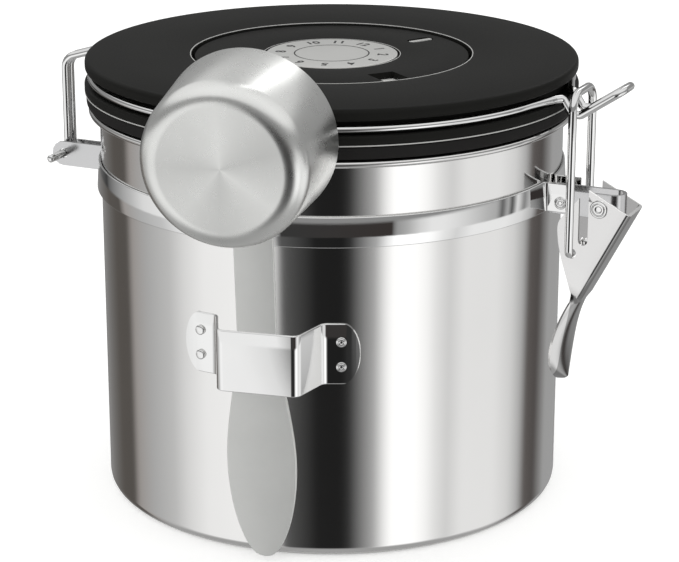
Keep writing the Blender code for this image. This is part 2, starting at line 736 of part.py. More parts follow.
def thumb_section(half_width):
    """Half of the spoon's section as (y, reach), its rim turned to the can."""
    width_shares = (1.0, 0.94, 0.86, 0.74, 0.6, 0.42)
    return [(-half_width * share, THUMB_RIM * share ** 3) for share in width_shares]


def lever_station(back, lean, half_section):
    """A whole section in its place; back is on the (x, z) plane, lean points to the can."""
    section = half_section + [(0, 0)] + [(-y, reach) for y, reach in reversed(half_section)]
    return [Vector((back.x + lean.x * reach, y, back.y + lean.y * reach)) for y, reach in section]


def make_lever():
    """Side walls and back in one bent sheet that narrows to a neck and ends in a spoon."""
    top = Vector((PIVOT_X + LEVER_TOP_OUT, PIVOT_Z - LEVER_TOP_DROP))
    neck = Vector((PIVOT_X - LEVER_NECK_IN, PIVOT_Z - LEVER_NECK_DROP))
    down = (neck - top).normalized()
    lean = Vector((down.y, -down.x))
    half_width = LEVER_HALF_WIDTH - LEVER_SHEET / 2
    along_shares = (0, 0.13, 0.27, 0.42, 0.56, 0.7, 0.84, 0.95)
    depth_shares = (0.74, 0.79, 0.84, 0.88, 0.76, 0.57, 0.34, 0.16)
    taper_start_share = 0.7
    stations = []
    for along, depth in zip(along_shares, depth_shares):
        taper = LEVER_TAPER * max(along - taper_start_share, 0) / (1 - taper_start_share)
        section = wall_section(half_width - taper, LEVER_DEPTH * depth)
        stations.append(lever_station(top.lerp(neck, along), lean, section))
    thumb_shares = (0, 0.12, 0.28, 0.45, 0.6, 0.74, 0.87, 0.96, 1)
    width_shares = (0.6, 0.72, 0.88, 0.98, 1, 0.92, 0.7, 0.4, 0.16)
    for along, width in zip(thumb_shares, width_shares):
        carried_on = down.x * THUMB_LENGTH * along * (1 - along)
        x = neck.x + carried_on - THUMB_SWEEP * along + THUMB_BOW * math.sin(along * math.pi)
        back = Vector((x, neck.y - THUMB_LENGTH * along))
        stations.append(lever_station(back, Vector((-1, 0)), thumb_section(THUMB_HALF_WIDTH * width)))
    lever = add_part("latch_lever", loft_mesh("latch_lever", stations), "brushed steel")
    sheet = lever.modifiers.new("sheet", "SOLIDIFY")
    sheet.thickness = LEVER_SHEET
    sheet.offset = 0
    sheet.use_even_offset = True
    bake(lever)
    for name, x, z, radius in (("lever_pivot_hole", PIVOT_X, PIVOT_Z, PIVOT_RADIUS),
                               ("bail_hole", BAIL_X, BAIL_FOOT_Z, WIRE_RADIUS)):
        hole = rod_mesh(name, radius + RUN_GAP, LEVER_HALF_WIDTH * 2 + OVERRUN)
        cut(lever, add_cutter(name, hole, along_y(x, z)))
    notch_x = PIVOT_X - NOTCH_IN
    half = NOTCH_WIDTH / 2
    outline = [(notch_x - half, PIVOT_Z + LEVER_DEPTH)] + arc(notch_x, PIVOT_Z - NOTCH_DROP, half, 180, 360)
    outline.append((notch_x + half, PIVOT_Z + LEVER_DEPTH))
    notch = slab_across(outline, 0, LEVER_HALF_WIDTH * 2 + OVERRUN, "lever_notch")
    cut(lever, add_cutter("lever_notch", notch))
    return lever


def make_bail():
    """Up one side, over the top and down the other, with the feet turned in through the lever."""
    half = LEVER_HALF_WIDTH + BAIL_SIDE_GAP + WIRE_RADIUS
    foot = LEVER_HALF_WIDTH - LEVER_SHEET - BAIL_FOOT_LENGTH
    points = [
        (BAIL_X, -foot, BAIL_FOOT_Z), (BAIL_X, -half, BAIL_FOOT_Z), (BAIL_X, -half, BAIL_TOP_Z),
        (BAIL_X, half, BAIL_TOP_Z), (BAIL_X, half, BAIL_FOOT_Z), (BAIL_X, foot, BAIL_FOOT_Z),
    ]
    path = bent(points, (BAIL_FOOT_BEND, BAIL_TOP_BEND, BAIL_TOP_BEND, BAIL_FOOT_BEND))
    return small_part("latch_bail", wire_mesh("latch_bail", path, WIRE_RADIUS), "wire")


# The lid

def make_lid_cover():
    """A disc with a sunk well for the dial, an edge over the wire's groove and a neck below it."""
    under = COVER_TOP - COVER_TOP_THICKNESS
    bottom = LID_BASE_TOP + SEAT_GAP
    floor_under = WELL_FLOOR_TOP - WELL_FLOOR_THICKNESS
    hub = STEM_RADIUS + RUN_GAP
    outline = [
        (hub, WELL_FLOOR_TOP), (WELL_RADIUS, WELL_FLOOR_TOP), (WELL_RADIUS, COVER_TOP),
        (COVER_RADIUS, COVER_TOP), (COVER_RADIUS, COVER_EDGE_Z), (NECK_RADIUS, COVER_EDGE_Z),
        (NECK_RADIUS, bottom), (NECK_INNER, bottom), (NECK_INNER, under), (WELL_OUTER, under),
        (WELL_OUTER, floor_under), (hub, floor_under),
    ]
    corners = {2: DIAL_EDGE, 3: COVER_EDGE, 4: COVER_EDGE / 2}
    cover = turned("lid_cover", rounded(outline, corners), "black plastic")
    boss_top = COVER_TOP - COVER_TOP_THICKNESS / 2
    bore_bottom = bottom - OVERRUN
    bore_top = SCREW_TOP + SEAT_GAP
    for index in range(SCREW_COUNT):
        boss = rod_mesh("screw_boss", SCREW_RADIUS + RUN_GAP + BOSS_WALL, boss_top - bottom)
        combine(cover, add_cutter("screw_boss", boss, screw_place(index, (bottom + boss_top) / 2)), "UNION")
    for index in range(SCREW_COUNT):
        bore = rod_mesh("boss_bore", SCREW_RADIUS + RUN_GAP, bore_top - bore_bottom)
        cut(cover, add_cutter("boss_bore", bore, screw_place(index, (bore_bottom + bore_top) / 2)))
    return cover


def screw_place(index, height=0.0):
    angle = (index + 0.5) * math.tau / SCREW_COUNT
    return Matrix.Translation(polar(SCREW_CIRCLE_RADIUS, angle, height))


def drill_screw_holes(part, middle):
    for index in range(SCREW_COUNT):
        hole = rod_mesh("screw_hole", SCREW_RADIUS + RUN_GAP, PAN_DEPTH + LID_BASE_THICKNESS)
        cut(part, add_cutter("screw_hole", hole, screw_place(index, middle)))


def make_lid_base():
    outline = ring(VALVE_NECK_RADIUS + SEAT_GAP, RIM_RADIUS + LID_BASE_OVERHANG, LID_BASE_Z, LID_BASE_TOP)
    profile = rounded(outline, {1: LID_BASE_EDGE, 2: LID_BASE_EDGE}, steps=1)
    base = turned("lid_base", profile, "black plastic")
    drill_screw_holes(base, (LID_BASE_Z + LID_BASE_TOP) / 2)
    return base


def make_gasket():
    inner = PAN_RADIUS + GASKET_CLEARANCE
    outline = ring(inner, RIM_RADIUS + GASKET_OVERHANG, GASKET_Z, GASKET_Z + GASKET_HEIGHT)
    corners = {1: GASKET_EDGE / 2, 2: GASKET_EDGE, 3: GASKET_EDGE / 2}
    return turned("lid_gasket", rounded(outline, corners, steps=1), "rubber")


def make_lid_pan():
    """A shallow steel dish, open upwards, that closes the underside of the lid."""
    hole = VALVE_NECK_RADIUS + SEAT_GAP
    inner = PAN_RADIUS - PAN_SHEET
    outline = [
        (hole, PAN_BOTTOM + PAN_SHEET), (inner, PAN_BOTTOM + PAN_SHEET), (inner, PAN_TOP),
        (PAN_RADIUS, PAN_TOP), (PAN_RADIUS, PAN_BOTTOM), (hole, PAN_BOTTOM),
    ]
    profile = rounded(outline, {1: PAN_CORNER - PAN_SHEET, 4: PAN_CORNER}, steps=1)
    pan = turned("lid_pan", profile, "brushed steel")
    drill_screw_holes(pan, PAN_BOTTOM)
    return pan


def make_lid_screws():
    head = PAN_BOTTOM - SEAT_GAP
    point_share = 0.4
    lower = [(radius, -along) for radius, along in
             reversed(head_profile(SCREW_HEAD_RADIUS, SCREW_HEAD_HEIGHT, -head))]
    profile = [(0, SCREW_TOP), (SCREW_RADIUS * point_share, SCREW_TOP),
               (SCREW_RADIUS, SCREW_TOP - SCREW_RADIUS), (SCREW_RADIUS, head)] + lower
    screws = []
    for index in range(SCREW_COUNT):
        name = f"lid_screw_{index + 1}"
        mesh = turned_mesh(name, profile, PIN_SEGMENTS, screw_place(index))
        screws.append(small_part(name, mesh, "wire"))
    return screws


def hoop_end():
    """The angle at which the hoop turns off to a leg."""
    return math.pi - math.asin((LEG_HALF_SPACING + LEG_BEND) / HOOP_RADIUS)


def hoop_path():
    """Half of the lid wire, from the middle of the tab's tip round the can to the hinge."""
    tip = HOOP_RADIUS + TAB_TIP_REACH
    tip_z = HOOP_Z + TAB_TIP_RISE
    crook_end = TAB_CROOK_X + TAB_CROOK_LENGTH / 2
    crook_start = TAB_CROOK_X - TAB_CROOK_LENGTH / 2
    points = [
        (tip, 0, tip_z), (tip, TAB_HALF_WIDTH, tip_z), (crook_end, TAB_HALF_WIDTH, TAB_CROOK_Z),
        (crook_start, TAB_HALF_WIDTH, TAB_CROOK_Z), (HOOP_RADIUS + TAB_NECK_REACH, TAB_HALF_WIDTH, HOOP_Z),
        (HOOP_RADIUS + TAB_SHOULDER_REACH, TAB_HALF_WIDTH + TAB_FLARE, HOOP_Z),
        polar(HOOP_RADIUS, HOOP_END_ANGLE, HOOP_Z),
    ]
    path = bent(points, (TAB_HALF_WIDTH, WIRE_BEND, WIRE_BEND, WIRE_BEND, WIRE_BEND), steps=3)
    sweep = hoop_end() - HOOP_END_ANGLE
    turns = round(sweep / HOOP_STEP)
    return path + [polar(HOOP_RADIUS, HOOP_END_ANGLE + sweep * step / turns, HOOP_Z)
                   for step in range(1, turns + 1)]


def leg_path(side, pin_length):
    """From the hoop out and a little down to the hinge, down to the ear and along the pin."""
    y = side * LEG_HALF_SPACING
    start = polar(HOOP_RADIUS, side * hoop_end(), HOOP_Z)
    points = [
        start, (-HOOP_RADIUS - WIRE_RADIUS, y, HOOP_Z), (-COVER_RADIUS - LEG_SHOULDER, y, HOOP_Z),
        (HINGE_X, y, HOOP_Z - LEG_DROP), (HINGE_X, y, HINGE_Z), (HINGE_X, y + side * pin_length, HINGE_Z),
    ]
    return bent(points, (LEG_BEND, LEG_BEND, LEG_BEND, PIN_BEND))


def make_lid_wire():
    """One unbroken wire: rear pin, leg, hoop, tab, hoop, leg, front pin."""
    half = hoop_path()
    mirrored = [Vector((point.x, -point.y, point.z)) for point in half]
    rear = half + leg_path(1, REAR_PIN_LENGTH)[1:]
    front = mirrored + leg_path(-1, FRONT_PIN_LENGTH)[1:]
    path = rear[::-1] + front[1:]
    return small_part("lid_wire", wire_mesh("lid_wire", path, WIRE_RADIUS), "wire")


# The date dial

def make_day_ring():
    outline = ring(DIAL_RADIUS - DAY_RING_WIDTH, DIAL_RADIUS, DAY_RING_Z, DAY_RING_Z + DAY_RING_THICKNESS)
    return turned("day_ring", outline, "print")


def radial_box(name, edge, length, width, low, angle):
    """A cutter through the dial's top, its outer end at a distance from the dial's edge."""
    outer = DIAL_RADIUS - edge
    mesh = box_mesh(name, (outer - length, -width / 2, low), (outer, width / 2, DIAL_TOP + OVERRUN))
    return add_cutter(name, mesh, Matrix.Rotation(angle, 4, "Z"))


def make_date_dial():
    """A flat ring whose lip runs under the month plate; two grip slots and one window."""
    lip_inner = DIAL_INNER_RADIUS - DIAL_LIP_WIDTH
    lip_top = DIAL_Z + DIAL_LIP_THICKNESS
    outline = [
        (lip_inner, lip_top), (DIAL_INNER_RADIUS, lip_top), (DIAL_INNER_RADIUS, DIAL_TOP),
        (DIAL_RADIUS, DIAL_TOP), (DIAL_RADIUS, DIAL_Z), (lip_inner, DIAL_Z),
    ]
    profile = rounded(outline, {2: DIAL_EDGE, 3: DIAL_EDGE}, steps=1)
    dial = turned("date_dial", profile, "black plastic")
    for turn in (0, math.pi):
        cut(dial, radial_box("grip_slot", SLOT_EDGE, SLOT_LENGTH, SLOT_WIDTH,
                             DIAL_TOP - SLOT_DEPTH, DIAL_TURN + turn))
    cut(dial, radial_box("day_window", WINDOW_EDGE, WINDOW_LENGTH, WINDOW_WIDTH,
                         DIAL_Z - OVERRUN, WINDOW_TURN))
    return dial


def make_month_plate():
    """A steel plate on a stem that turns in the floor of the well."""
    top = MONTH_Z + MONTH_THICKNESS
    radius = DIAL_INNER_RADIUS - MONTH_SWEEP
    foot_radius = STEM_RADIUS + STEM_FOOT_WIDTH
    foot_top = STEM_BOTTOM + STEM_FOOT_HEIGHT
    outline = [
        (0, top), (radius, top), (radius, MONTH_Z), (STEM_RADIUS, MONTH_Z), (STEM_RADIUS, foot_top),
        (foot_radius, foot_top), (foot_radius, STEM_BOTTOM), (0, STEM_BOTTOM),
    ]
    profile = rounded(outline, {1: MONTH_EDGE}, steps=1)
    return turned("month_plate", profile, "brushed steel", closed=False)


def make_stem_clip():
    """An open spring ring between the foot of the stem and the floor of the well."""
    low = STEM_BOTTOM + STEM_FOOT_HEIGHT + SEAT_GAP
    high = low + CLIP_THICKNESS
    outer = STEM_RADIUS + SEAT_GAP + CLIP_WIDTH
    clip = turned("stem_clip", ring(STEM_RADIUS + SEAT_GAP, outer, low, high), "wire", SMALL_SEGMENTS)
    mouth = box_mesh("clip_mouth", (0, -STEM_RADIUS / 2, low - OVERRUN),
                     (outer + OVERRUN, STEM_RADIUS / 2, high + OVERRUN))
    cut(clip, add_cutter("clip_mouth", mouth))
    return clip


# The gas valve

def make_valve_housing():
    flange_top = VALVE_BOTTOM + VALVE_FLANGE_THICKNESS
    flange = VALVE_NECK_RADIUS + VALVE_FLANGE_WIDTH
    seat = VALVE_BOTTOM + VALVE_SEAT_RISE
    neck_top = LID_BASE_TOP - VALVE_NECK_TOP_CLEARANCE
    stem_hole = VALVE_STEM_RADIUS + RUN_GAP
    outline = [
        (stem_hole, seat + VALVE_SEAT_THICKNESS), (VALVE_BORE_RADIUS, seat + VALVE_SEAT_THICKNESS),
        (VALVE_BORE_RADIUS, neck_top), (VALVE_NECK_RADIUS, neck_top), (VALVE_NECK_RADIUS, flange_top),
        (flange, flange_top), (flange, VALVE_BOTTOM), (VALVE_BORE_RADIUS, VALVE_BOTTOM),
        (VALVE_BORE_RADIUS, seat), (stem_hole, seat),
    ]
    housing = turned("valve_housing", outline, "black plastic", SMALL_SEGMENTS)
    for index in range(VALVE_HOLE_COUNT):
        angle = index * math.tau / VALVE_HOLE_COUNT
        hole = rod_mesh("vent_hole", VALVE_HOLE_RADIUS, VALVE_SEAT_THICKNESS + OVERRUN, VENT_SEGMENTS)
        centre = polar(VALVE_HOLE_CIRCLE_RADIUS, angle, seat + VALVE_SEAT_THICKNESS / 2)
        cut(housing, add_cutter("vent_hole", hole, Matrix.Translation(centre)))
    return housing


def make_valve_disc():
    """A soft mushroom that lies on the vent holes and lifts when gas pushes it."""
    low = VALVE_BOTTOM + VALVE_SEAT_RISE + VALVE_SEAT_THICKNESS + SEAT_GAP
    top = low + VALVE_DISC_THICKNESS
    radius = VALVE_BORE_RADIUS - VALVE_DISC_SWEEP
    outline = [
        (0, top), (radius, top), (radius, low), (VALVE_STEM_RADIUS, low),
        (VALVE_STEM_RADIUS, low - VALVE_STEM_LENGTH), (0, low - VALVE_STEM_LENGTH),
    ]
    return turned("valve_disc", outline, "silicone", SMALL_SEGMENTS, closed=False)


def make_valve_filter():
    """A thin disc with one hole in the middle and a ring of holes, turned clear of its seams."""
    low = VALVE_BOTTOM + FILTER_INSET
    outline = ring(FILTER_HOLE_RADIUS, VALVE_BORE_RADIUS - SEAT_GAP, low, low + FILTER_THICKNESS)
    disc = turned("valve_filter", outline, "brushed steel", SMALL_SEGMENTS)
    turn_share = 0.37
    for index in range(FILTER_HOLE_COUNT):
        angle = (index + turn_share) * math.tau / FILTER_HOLE_COUNT
        hole = rod_mesh("filter_hole", FILTER_HOLE_RADIUS, FILTER_THICKNESS + OVERRUN, VENT_SEGMENTS)
        centre = polar(FILTER_HOLE_CIRCLE_RADIUS, angle, low + FILTER_THICKNESS / 2)
        cut(disc, add_cutter("filter_hole", hole, Matrix.Translation(centre)))
    return disc


# The scoop and its holder. Their own frame has X across, Y away from the can and Z up.

def holder_frame():
    return Matrix.Rotation(HOLDER_ANGLE - math.radians(90), 4, "Z")


def scoop_frame():
    """The holder's frame, leaning with the scoop about the middle of its slot."""
    lean = Matrix.Translation((SCOOP_SHIFT, SCOOP_PLANE, HOLDER_CENTRE_Z))
    lean = lean @ Matrix.Rotation(-SCOOP_LEAN, 4, "X")
    return holder_frame() @ lean @ Matrix.Translation((0, -SCOOP_PLANE, -HOLDER_CENTRE_Z))


def make_holder():
    """A strip hugging the can, bent out round the handle and back, with rounded ends."""
    pad = BODY_RADIUS + SEAT_GAP + HOLDER_SHEET / 2
    foot = math.degrees(math.asin((HOLDER_HALF_WIDTH + HOLDER_FLARE) / pad))
    front = HOLDER_FRONT - HOLDER_SHEET / 2
    side = HOLDER_HALF_WIDTH - HOLDER_SHEET / 2
    left = arc(0, 0, pad, 90 + math.degrees(PAD_ANGLE), 90 + foot, BEND_STEPS)
    right = [Vector((-point.x, point.y)) for point in reversed(left)]
    box = bent([left[-1], (-side, front), (side, front), right[0]], (HOLDER_BEND, HOLDER_BEND), steps=3)
    outline = strip_outline(left[:-1] + box + right[1:], HOLDER_SHEET)
    mesh = slab_mesh("scoop_holder", outline, HOLDER_HEIGHT)
    mesh = place(mesh, holder_frame() @ Matrix.Translation((0, 0, HOLDER_CENTRE_Z)))
    holder = add_part("scoop_holder", mesh, "brushed steel")
    straight = pad * math.sin(PAD_ANGLE) - PAD_END_DEPTH
    stretch = (HOLDER_HEIGHT / 2 + MERGE_DISTANCE) / PAD_END_DEPTH
    outline = [(straight + point.x, point.y * stretch) for point in arc(0, 0, PAD_END_DEPTH, 90, -90)]
    outline += [(-x, -z) for x, z in outline]
    ends = slab_across(outline, HOLDER_FRONT, BODY_RADIUS, "holder_ends")
    ends = place(ends, holder_frame() @ Matrix.Translation((0, 0, HOLDER_CENTRE_Z)))
    combine(holder, add_cutter("holder_ends", ends), "INTERSECT")
    return holder


def make_weld_studs():
    """Four small studs through which the pads are fastened to the can."""
    face = BODY_RADIUS + SEAT_GAP + HOLDER_SHEET + SEAT_GAP
    profile = head_profile(WELD_RADIUS, WELD_HEIGHT, face) + [(0, face)]
    corners = ((-1, -1), (-1, 1), (1, -1), (1, 1))
    for index, (side, level) in enumerate(corners, start=1):
        turn = Matrix.Rotation(HOLDER_ANGLE + side * WELD_ANGLE, 4, "Z") @ along_x(0, 0)
        turn = Matrix.Translation((0, 0, HOLDER_CENTRE_Z + level * WELD_SPACING / 2)) @ turn
        name = f"holder_stud_{index}"
        small_part(name, turned_mesh(name, profile, PIN_SEGMENTS, turn), "wire")


def make_scoop_cup():
    """A straight-sided cup lying on its side, its mouth to the can and its bottom outwards."""
    inner_rim = CUP_RIM_RADIUS - CUP_WALL
    inner_bottom = CUP_BOTTOM_RADIUS - CUP_WALL
    outline = [
        (0, CUP_DEPTH), (CUP_BOTTOM_RADIUS, CUP_DEPTH), (CUP_RIM_RADIUS, 0), (inner_rim, 0),
        (inner_bottom, CUP_DEPTH - CUP_WALL), (0, CUP_DEPTH - CUP_WALL),
    ]
    profile = rounded(outline, {1: CUP_CORNER, 4: CUP_CORNER - CUP_WALL}, steps=4)
    cup = turned("scoop_cup", profile, "brushed steel", CUP_SEGMENTS, closed=False)
    stance = Matrix.Translation((0, SCOOP_PLANE, CUP_CENTRE_Z)) @ Matrix.Rotation(math.radians(-90), 4, "X")
    place(cup.data, scoop_frame() @ stance)
    return cup


def handle_half_width(share):
    """Half the handle's width, at a share of its height up from the tip."""
    widest = HOLDER_HALF_WIDTH - HOLDER_SHEET - BLADE_SIDE_CLEARANCE
    if share < BLADE_HEIGHT_SHARE:
        return widest * math.sin(math.pi / 2 * share / BLADE_HEIGHT_SHARE) ** BLADE_FULLNESS
    fall = min((share - BLADE_HEIGHT_SHARE) / (NECK_HEIGHT_SHARE - BLADE_HEIGHT_SHARE), 1)
    ease = fall * fall * (3 - 2 * fall)
    return widest + (HANDLE_NECK_HALF_WIDTH - widest) * ease


def make_scoop_handle():
    """A flat strip that widens into a pointed blade; its top follows the rim of the cup."""
    rim = CUP_RIM_RADIUS + SEAT_GAP
    top = CUP_CENTRE_Z - math.sqrt(rim ** 2 - HANDLE_NECK_HALF_WIDTH ** 2)
    lean = math.degrees(math.asin(HANDLE_NECK_HALF_WIDTH / rim))
    right = []
    steps = 22
    crowding = 1.5             # over 1, the points lie closer at the tip
    for step in range(steps + 1):
        share = (step / steps) ** crowding
        right.append((handle_half_width(share), HANDLE_TIP_Z + (top - HANDLE_TIP_Z) * share))
    crown = arc(0, CUP_CENTRE_Z, rim, lean - 90, -lean - 90, 6)[1:-1]
    left = [(-x, z) for x, z in right[:0:-1]]
    outline = right + crown + left
    middle = SCOOP_PLANE + HANDLE_THICKNESS / 2
    mesh = place(slab_across(outline, middle, HANDLE_THICKNESS, "scoop_handle"), scoop_frame())
    return add_part("scoop_handle", mesh, "brushed steel")


def build():
    make_body()
    make_band()
    make_hinge_bracket()
    make_hinge_keeper()
    make_latch_strap()
    make_band_rivets()
    make_hinge_rivet()
    make_lever_rivet()
    make_holder()
    make_weld_studs()

    hinge = make_anchor("lid_hinge_axis", (HINGE_X, 0, HINGE_Z))
    lid_parts = [make_lid_cover(), make_lid_base(), make_gasket(), make_lid_pan(), make_lid_wire(),
                 make_day_ring(), make_valve_housing(), make_valve_filter(), *make_lid_screws()]
    for part in lid_parts:
        hang_on(part, hinge)
    centre = make_anchor("dial_axis", (0, 0, DIAL_Z))
    for part in (make_date_dial(), make_month_plate(), make_stem_clip(), make_valve_disc()):
        hang_on(part, centre)
    hang_on(make_lever(), make_anchor("lever_axis", (PIVOT_X, 0, PIVOT_Z)))
    hang_on(make_bail(), make_anchor("bail_axis", (BAIL_X, 0, BAIL_FOOT_Z)))
    slide = make_anchor("scoop_slide", polar(SCOOP_PLANE, HOLDER_ANGLE, HOLDER_CENTRE_Z))
    hang_on(make_scoop_cup(), slide)
    hang_on(make_scoop_handle(), slide)


build()
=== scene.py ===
# Coffee canister with a clip-top lid, a date dial and a scoop on its side: looks, floor and light.
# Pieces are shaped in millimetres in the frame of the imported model, and made metres as they settle.
import math

import bmesh
import bpy
from mathutils import Matrix, Vector


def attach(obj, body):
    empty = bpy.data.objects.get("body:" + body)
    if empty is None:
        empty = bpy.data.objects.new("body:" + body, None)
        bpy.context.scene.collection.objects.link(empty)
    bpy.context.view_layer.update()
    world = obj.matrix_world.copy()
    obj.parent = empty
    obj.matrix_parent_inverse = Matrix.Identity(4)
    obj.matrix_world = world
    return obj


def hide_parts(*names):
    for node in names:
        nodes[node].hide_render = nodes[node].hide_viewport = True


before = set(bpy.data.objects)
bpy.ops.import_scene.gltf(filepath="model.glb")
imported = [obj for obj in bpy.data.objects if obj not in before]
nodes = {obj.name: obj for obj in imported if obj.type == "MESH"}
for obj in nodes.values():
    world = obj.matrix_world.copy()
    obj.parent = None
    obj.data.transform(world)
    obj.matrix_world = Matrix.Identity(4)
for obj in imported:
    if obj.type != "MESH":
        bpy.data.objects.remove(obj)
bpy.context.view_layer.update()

metresPerMm = 0.001
weldDistance = 0.0002      # mm, doubles closer than this are merged
print("frame loaded:", len(nodes), "nodes")


def turnBy(degrees, axis="Z"):
    return Matrix.Rotation(math.radians(degrees), 4, axis)


def moveBy(x, y, z):
    return Matrix.Translation((x, y, z))


def polar(radius, degrees, height=0.0):
    angle = math.radians(degrees)
    return Vector((radius * math.cos(angle), radius * math.sin(angle), height))


# Node trees

class Signal:
    # one output of a node; sums written with it add their own Math nodes
    def __init__(self, tree, socket):
        self.tree = tree
        self.socket = socket

    def calc(self, operation, *values):
        return addNode(self.tree, "Math", {"operation": operation}, dict(enumerate(values)))

    def __add__(self, other):
        return self.calc("ADD", self, other)

    def __sub__(self, other):
        return self.calc("SUBTRACT", self, other)

    def __mul__(self, other):
        return self.calc("MULTIPLY", self, other)

    def __truediv__(self, other):
        return self.calc("DIVIDE", self, other)

    def __rsub__(self, other):
        return self.calc("SUBTRACT", other, self)

    __radd__ = __add__
    __rmul__ = __mul__


def addNode(tree, kind, settings=None, sockets=None, output=0):
    node = tree.nodes.new("ShaderNode" + kind)
    for key, value in (settings or {}).items():
        if key == "stops":
            ramp = node.color_ramp
            for index, (place, tone) in enumerate(value):
                stop = ramp.elements[index] if index < 2 else ramp.elements.new(place)
                stop.position = place
                stop.color = (*tone, 1) if isinstance(tone, tuple) else (tone, tone, tone, 1)
        else:
            setattr(node, key, value)
    for key, value in (sockets or {}).items():
        if isinstance(value, Signal):
            tree.links.new(value.socket, node.inputs[key])
        else:
            node.inputs[key].default_value = value
    if len(node.outputs):
        return Signal(tree, node.outputs[output])


def startMaterial(name):
    material = bpy.data.materials.new(name)
    material.use_nodes = True
    material.node_tree.nodes.clear()
    return material, material.node_tree


def closeMaterial(material, shader):
    addNode(material.node_tree, "OutputMaterial", None, {"Surface": shader})
    return material


def objectPlace(tree, scale, turn=(0, 0, 0), move=(0, 0, 0)):
    place = addNode(tree, "TexCoord", output="Object")
    return addNode(tree, "Mapping", {"vector_type": "POINT"},
                   {"Vector": place, "Scale": scale, "Rotation": turn, "Location": move})


def noise(tree, place, detail, roughness=0.55):
    return addNode(tree, "TexNoise", None,
                   {"Vector": place, "Scale": 1.0, "Detail": detail, "Roughness": roughness})


def easeBetween(tree, value, low, high):
    return addNode(tree, "MapRange", {"interpolation_type": "SMOOTHSTEP"},
                   {"Value": value, "From Min": low, "From Max": high})


def blendTones(tree, share, first, second):
    # a mix of two colours; each is a signal or three numbers
    sockets = {0: share}
    for key, tone in ((6, first), (7, second)):
        sockets[key] = tone if isinstance(tone, Signal) else (*tone, 1)
    return addNode(tree, "Mix", {"data_type": "RGBA"}, sockets, output=2)


def splitAxes(tree, place):
    apart = tree.nodes.new("ShaderNodeSeparateXYZ")
    tree.links.new(place.socket, apart.inputs[0])
    return [Signal(tree, apart.outputs[axis]) for axis in range(3)]


def reachFrom(tree, place, across):
    # distance from the axis that across leaves out
    flat = addNode(tree, "VectorMath", {"operation": "MULTIPLY"}, {0: place, 1: across})
    return addNode(tree, "VectorMath", {"operation": "LENGTH"}, {0: flat}, output="Value")


def bearingOf(y, x):
    # the turn round an axis, from 0 to 1
    return y.calc("ARCTAN2", y, x) / math.tau + 0.5


def bearingRamp(tree, bearing, tones):
    stops = [((degrees + 180) / 360, tone) for degrees, tone in tones]
    return addNode(tree, "ValToRGB", {"stops": stops}, {0: bearing})


def bumpFrom(tree, height, strength, distance):
    return addNode(tree, "Bump", None,
                   {"Height": height, "Strength": strength, "Distance": distance})


# Finishes

steelLooks = {
    # base tone, roughness, its spread, grain scale along x, y and z, grain strength, cloud scale
    "body_steel": ((0.80, 0.795, 0.785), 0.10, 0.05, (60, 60, 5200), 0.05, 22),
    "fitting_steel": ((0.83, 0.83, 0.825), 0.15, 0.07, (420, 420, 2600), 0.10, 60),
    "band_steel": ((0.84, 0.84, 0.835), 0.03, 0.02, (420, 420, 2600), 0.03, 60),
    "lever_steel": ((0.74, 0.735, 0.73), 0.14, 0.06, (420, 420, 2600), 0.08, 60),
    "ear_steel": ((0.60, 0.60, 0.605), 0.20, 0.08, (420, 420, 2600), 0.10, 60),
    "wire_steel": ((0.84, 0.84, 0.835), 0.05, 0.05, (900, 900, 900), 0.04, 120),
    "plate_steel": ((0.70, 0.70, 0.68), 0.34, 0.08, (1500, 90, 1500), 0.10, 80),
}

steelDetail = {
    "cloudDetail": 4.0, "grainDetail": 2.0, "darker": 0.93, "grainShare": 0.5, "middle": 0.75,
    "grainDepth": 0.00004, "plateMetal": 0.45,
    # duller inside the can's wall: metal, roughness added, and the radii of the change in metres
    "inside": {"body_steel": (0.50, 0.22, 0.0617, 0.0621)},
    # painted shade inside the lever: its inner faces get a darker tone, as shade falls in the channel;
    # share of the tone, and the distances from its middle plane in metres
    "inner": {"lever_steel": (0.50, 0.00535, 0.00560)},
}


def steelFinish(slot, name=None, metallic=1.0):
    base, rough, spread, grainScale, grainStrength, cloudScale = steelLooks[slot]
    detail = steelDetail
    material, tree = startMaterial(name or slot)
    place = addNode(tree, "TexCoord", output="Object")
    cloud = noise(tree, objectPlace(tree, (cloudScale,) * 3), detail["cloudDetail"])
    grain = noise(tree, objectPlace(tree, grainScale), detail["grainDetail"])
    satin = blendTones(tree, cloud, tuple(channel * detail["darker"] for channel in base), base)
    # painted shade: the lever's inner faces, near its middle plane, get a darker tone
    if slot in detail["inner"]:
        share, *reach = detail["inner"][slot]
        side = splitAxes(tree, place)[1]
        outer = easeBetween(tree, side.calc("ABSOLUTE", side), *reach)
        satin = blendTones(tree, outer, tuple(channel * share for channel in base), satin)
    roughness = (cloud * spread + grain * (spread * detail["grainShare"])
                 + (rough - spread * detail["middle"]))
    if slot in detail["inside"]:
        metal, extra, *reach = detail["inside"][slot]
        outside = easeBetween(tree, reachFrom(tree, place, (1, 1, 0)), *reach)
        metallic = outside * (metallic - metal) + metal
        roughness = (1.0 - outside) * extra + roughness
    shader = addNode(tree, "BsdfPrincipled", None, {
        "Base Color": satin,
        "Metallic": metallic,
        "Roughness": roughness,
        "Normal": bumpFrom(tree, grain, grainStrength, detail["grainDepth"]),
    })
    return closeMaterial(material, shader)


stance = {
    # the holder's bearing, and how the scoop leans in it: degrees, and mm off the middle of its slot
    "angle": -79.8, "lean": 5.0, "shift": 0.4, "plane": 70.0, "slotCentre": 56.5, "cupCentre": 115.7,
}


def holderPlace():
    # X across, Y away from the can, Z up
    return turnBy(stance["angle"] - 90)


def scoopPlace():
    slot = moveBy(stance["shift"], stance["plane"], stance["slotCentre"])
    lean = turnBy(-stance["lean"], "X")
    return holderPlace() @ slot @ lean @ moveBy(0, -stance["plane"], -stance["slotCentre"])


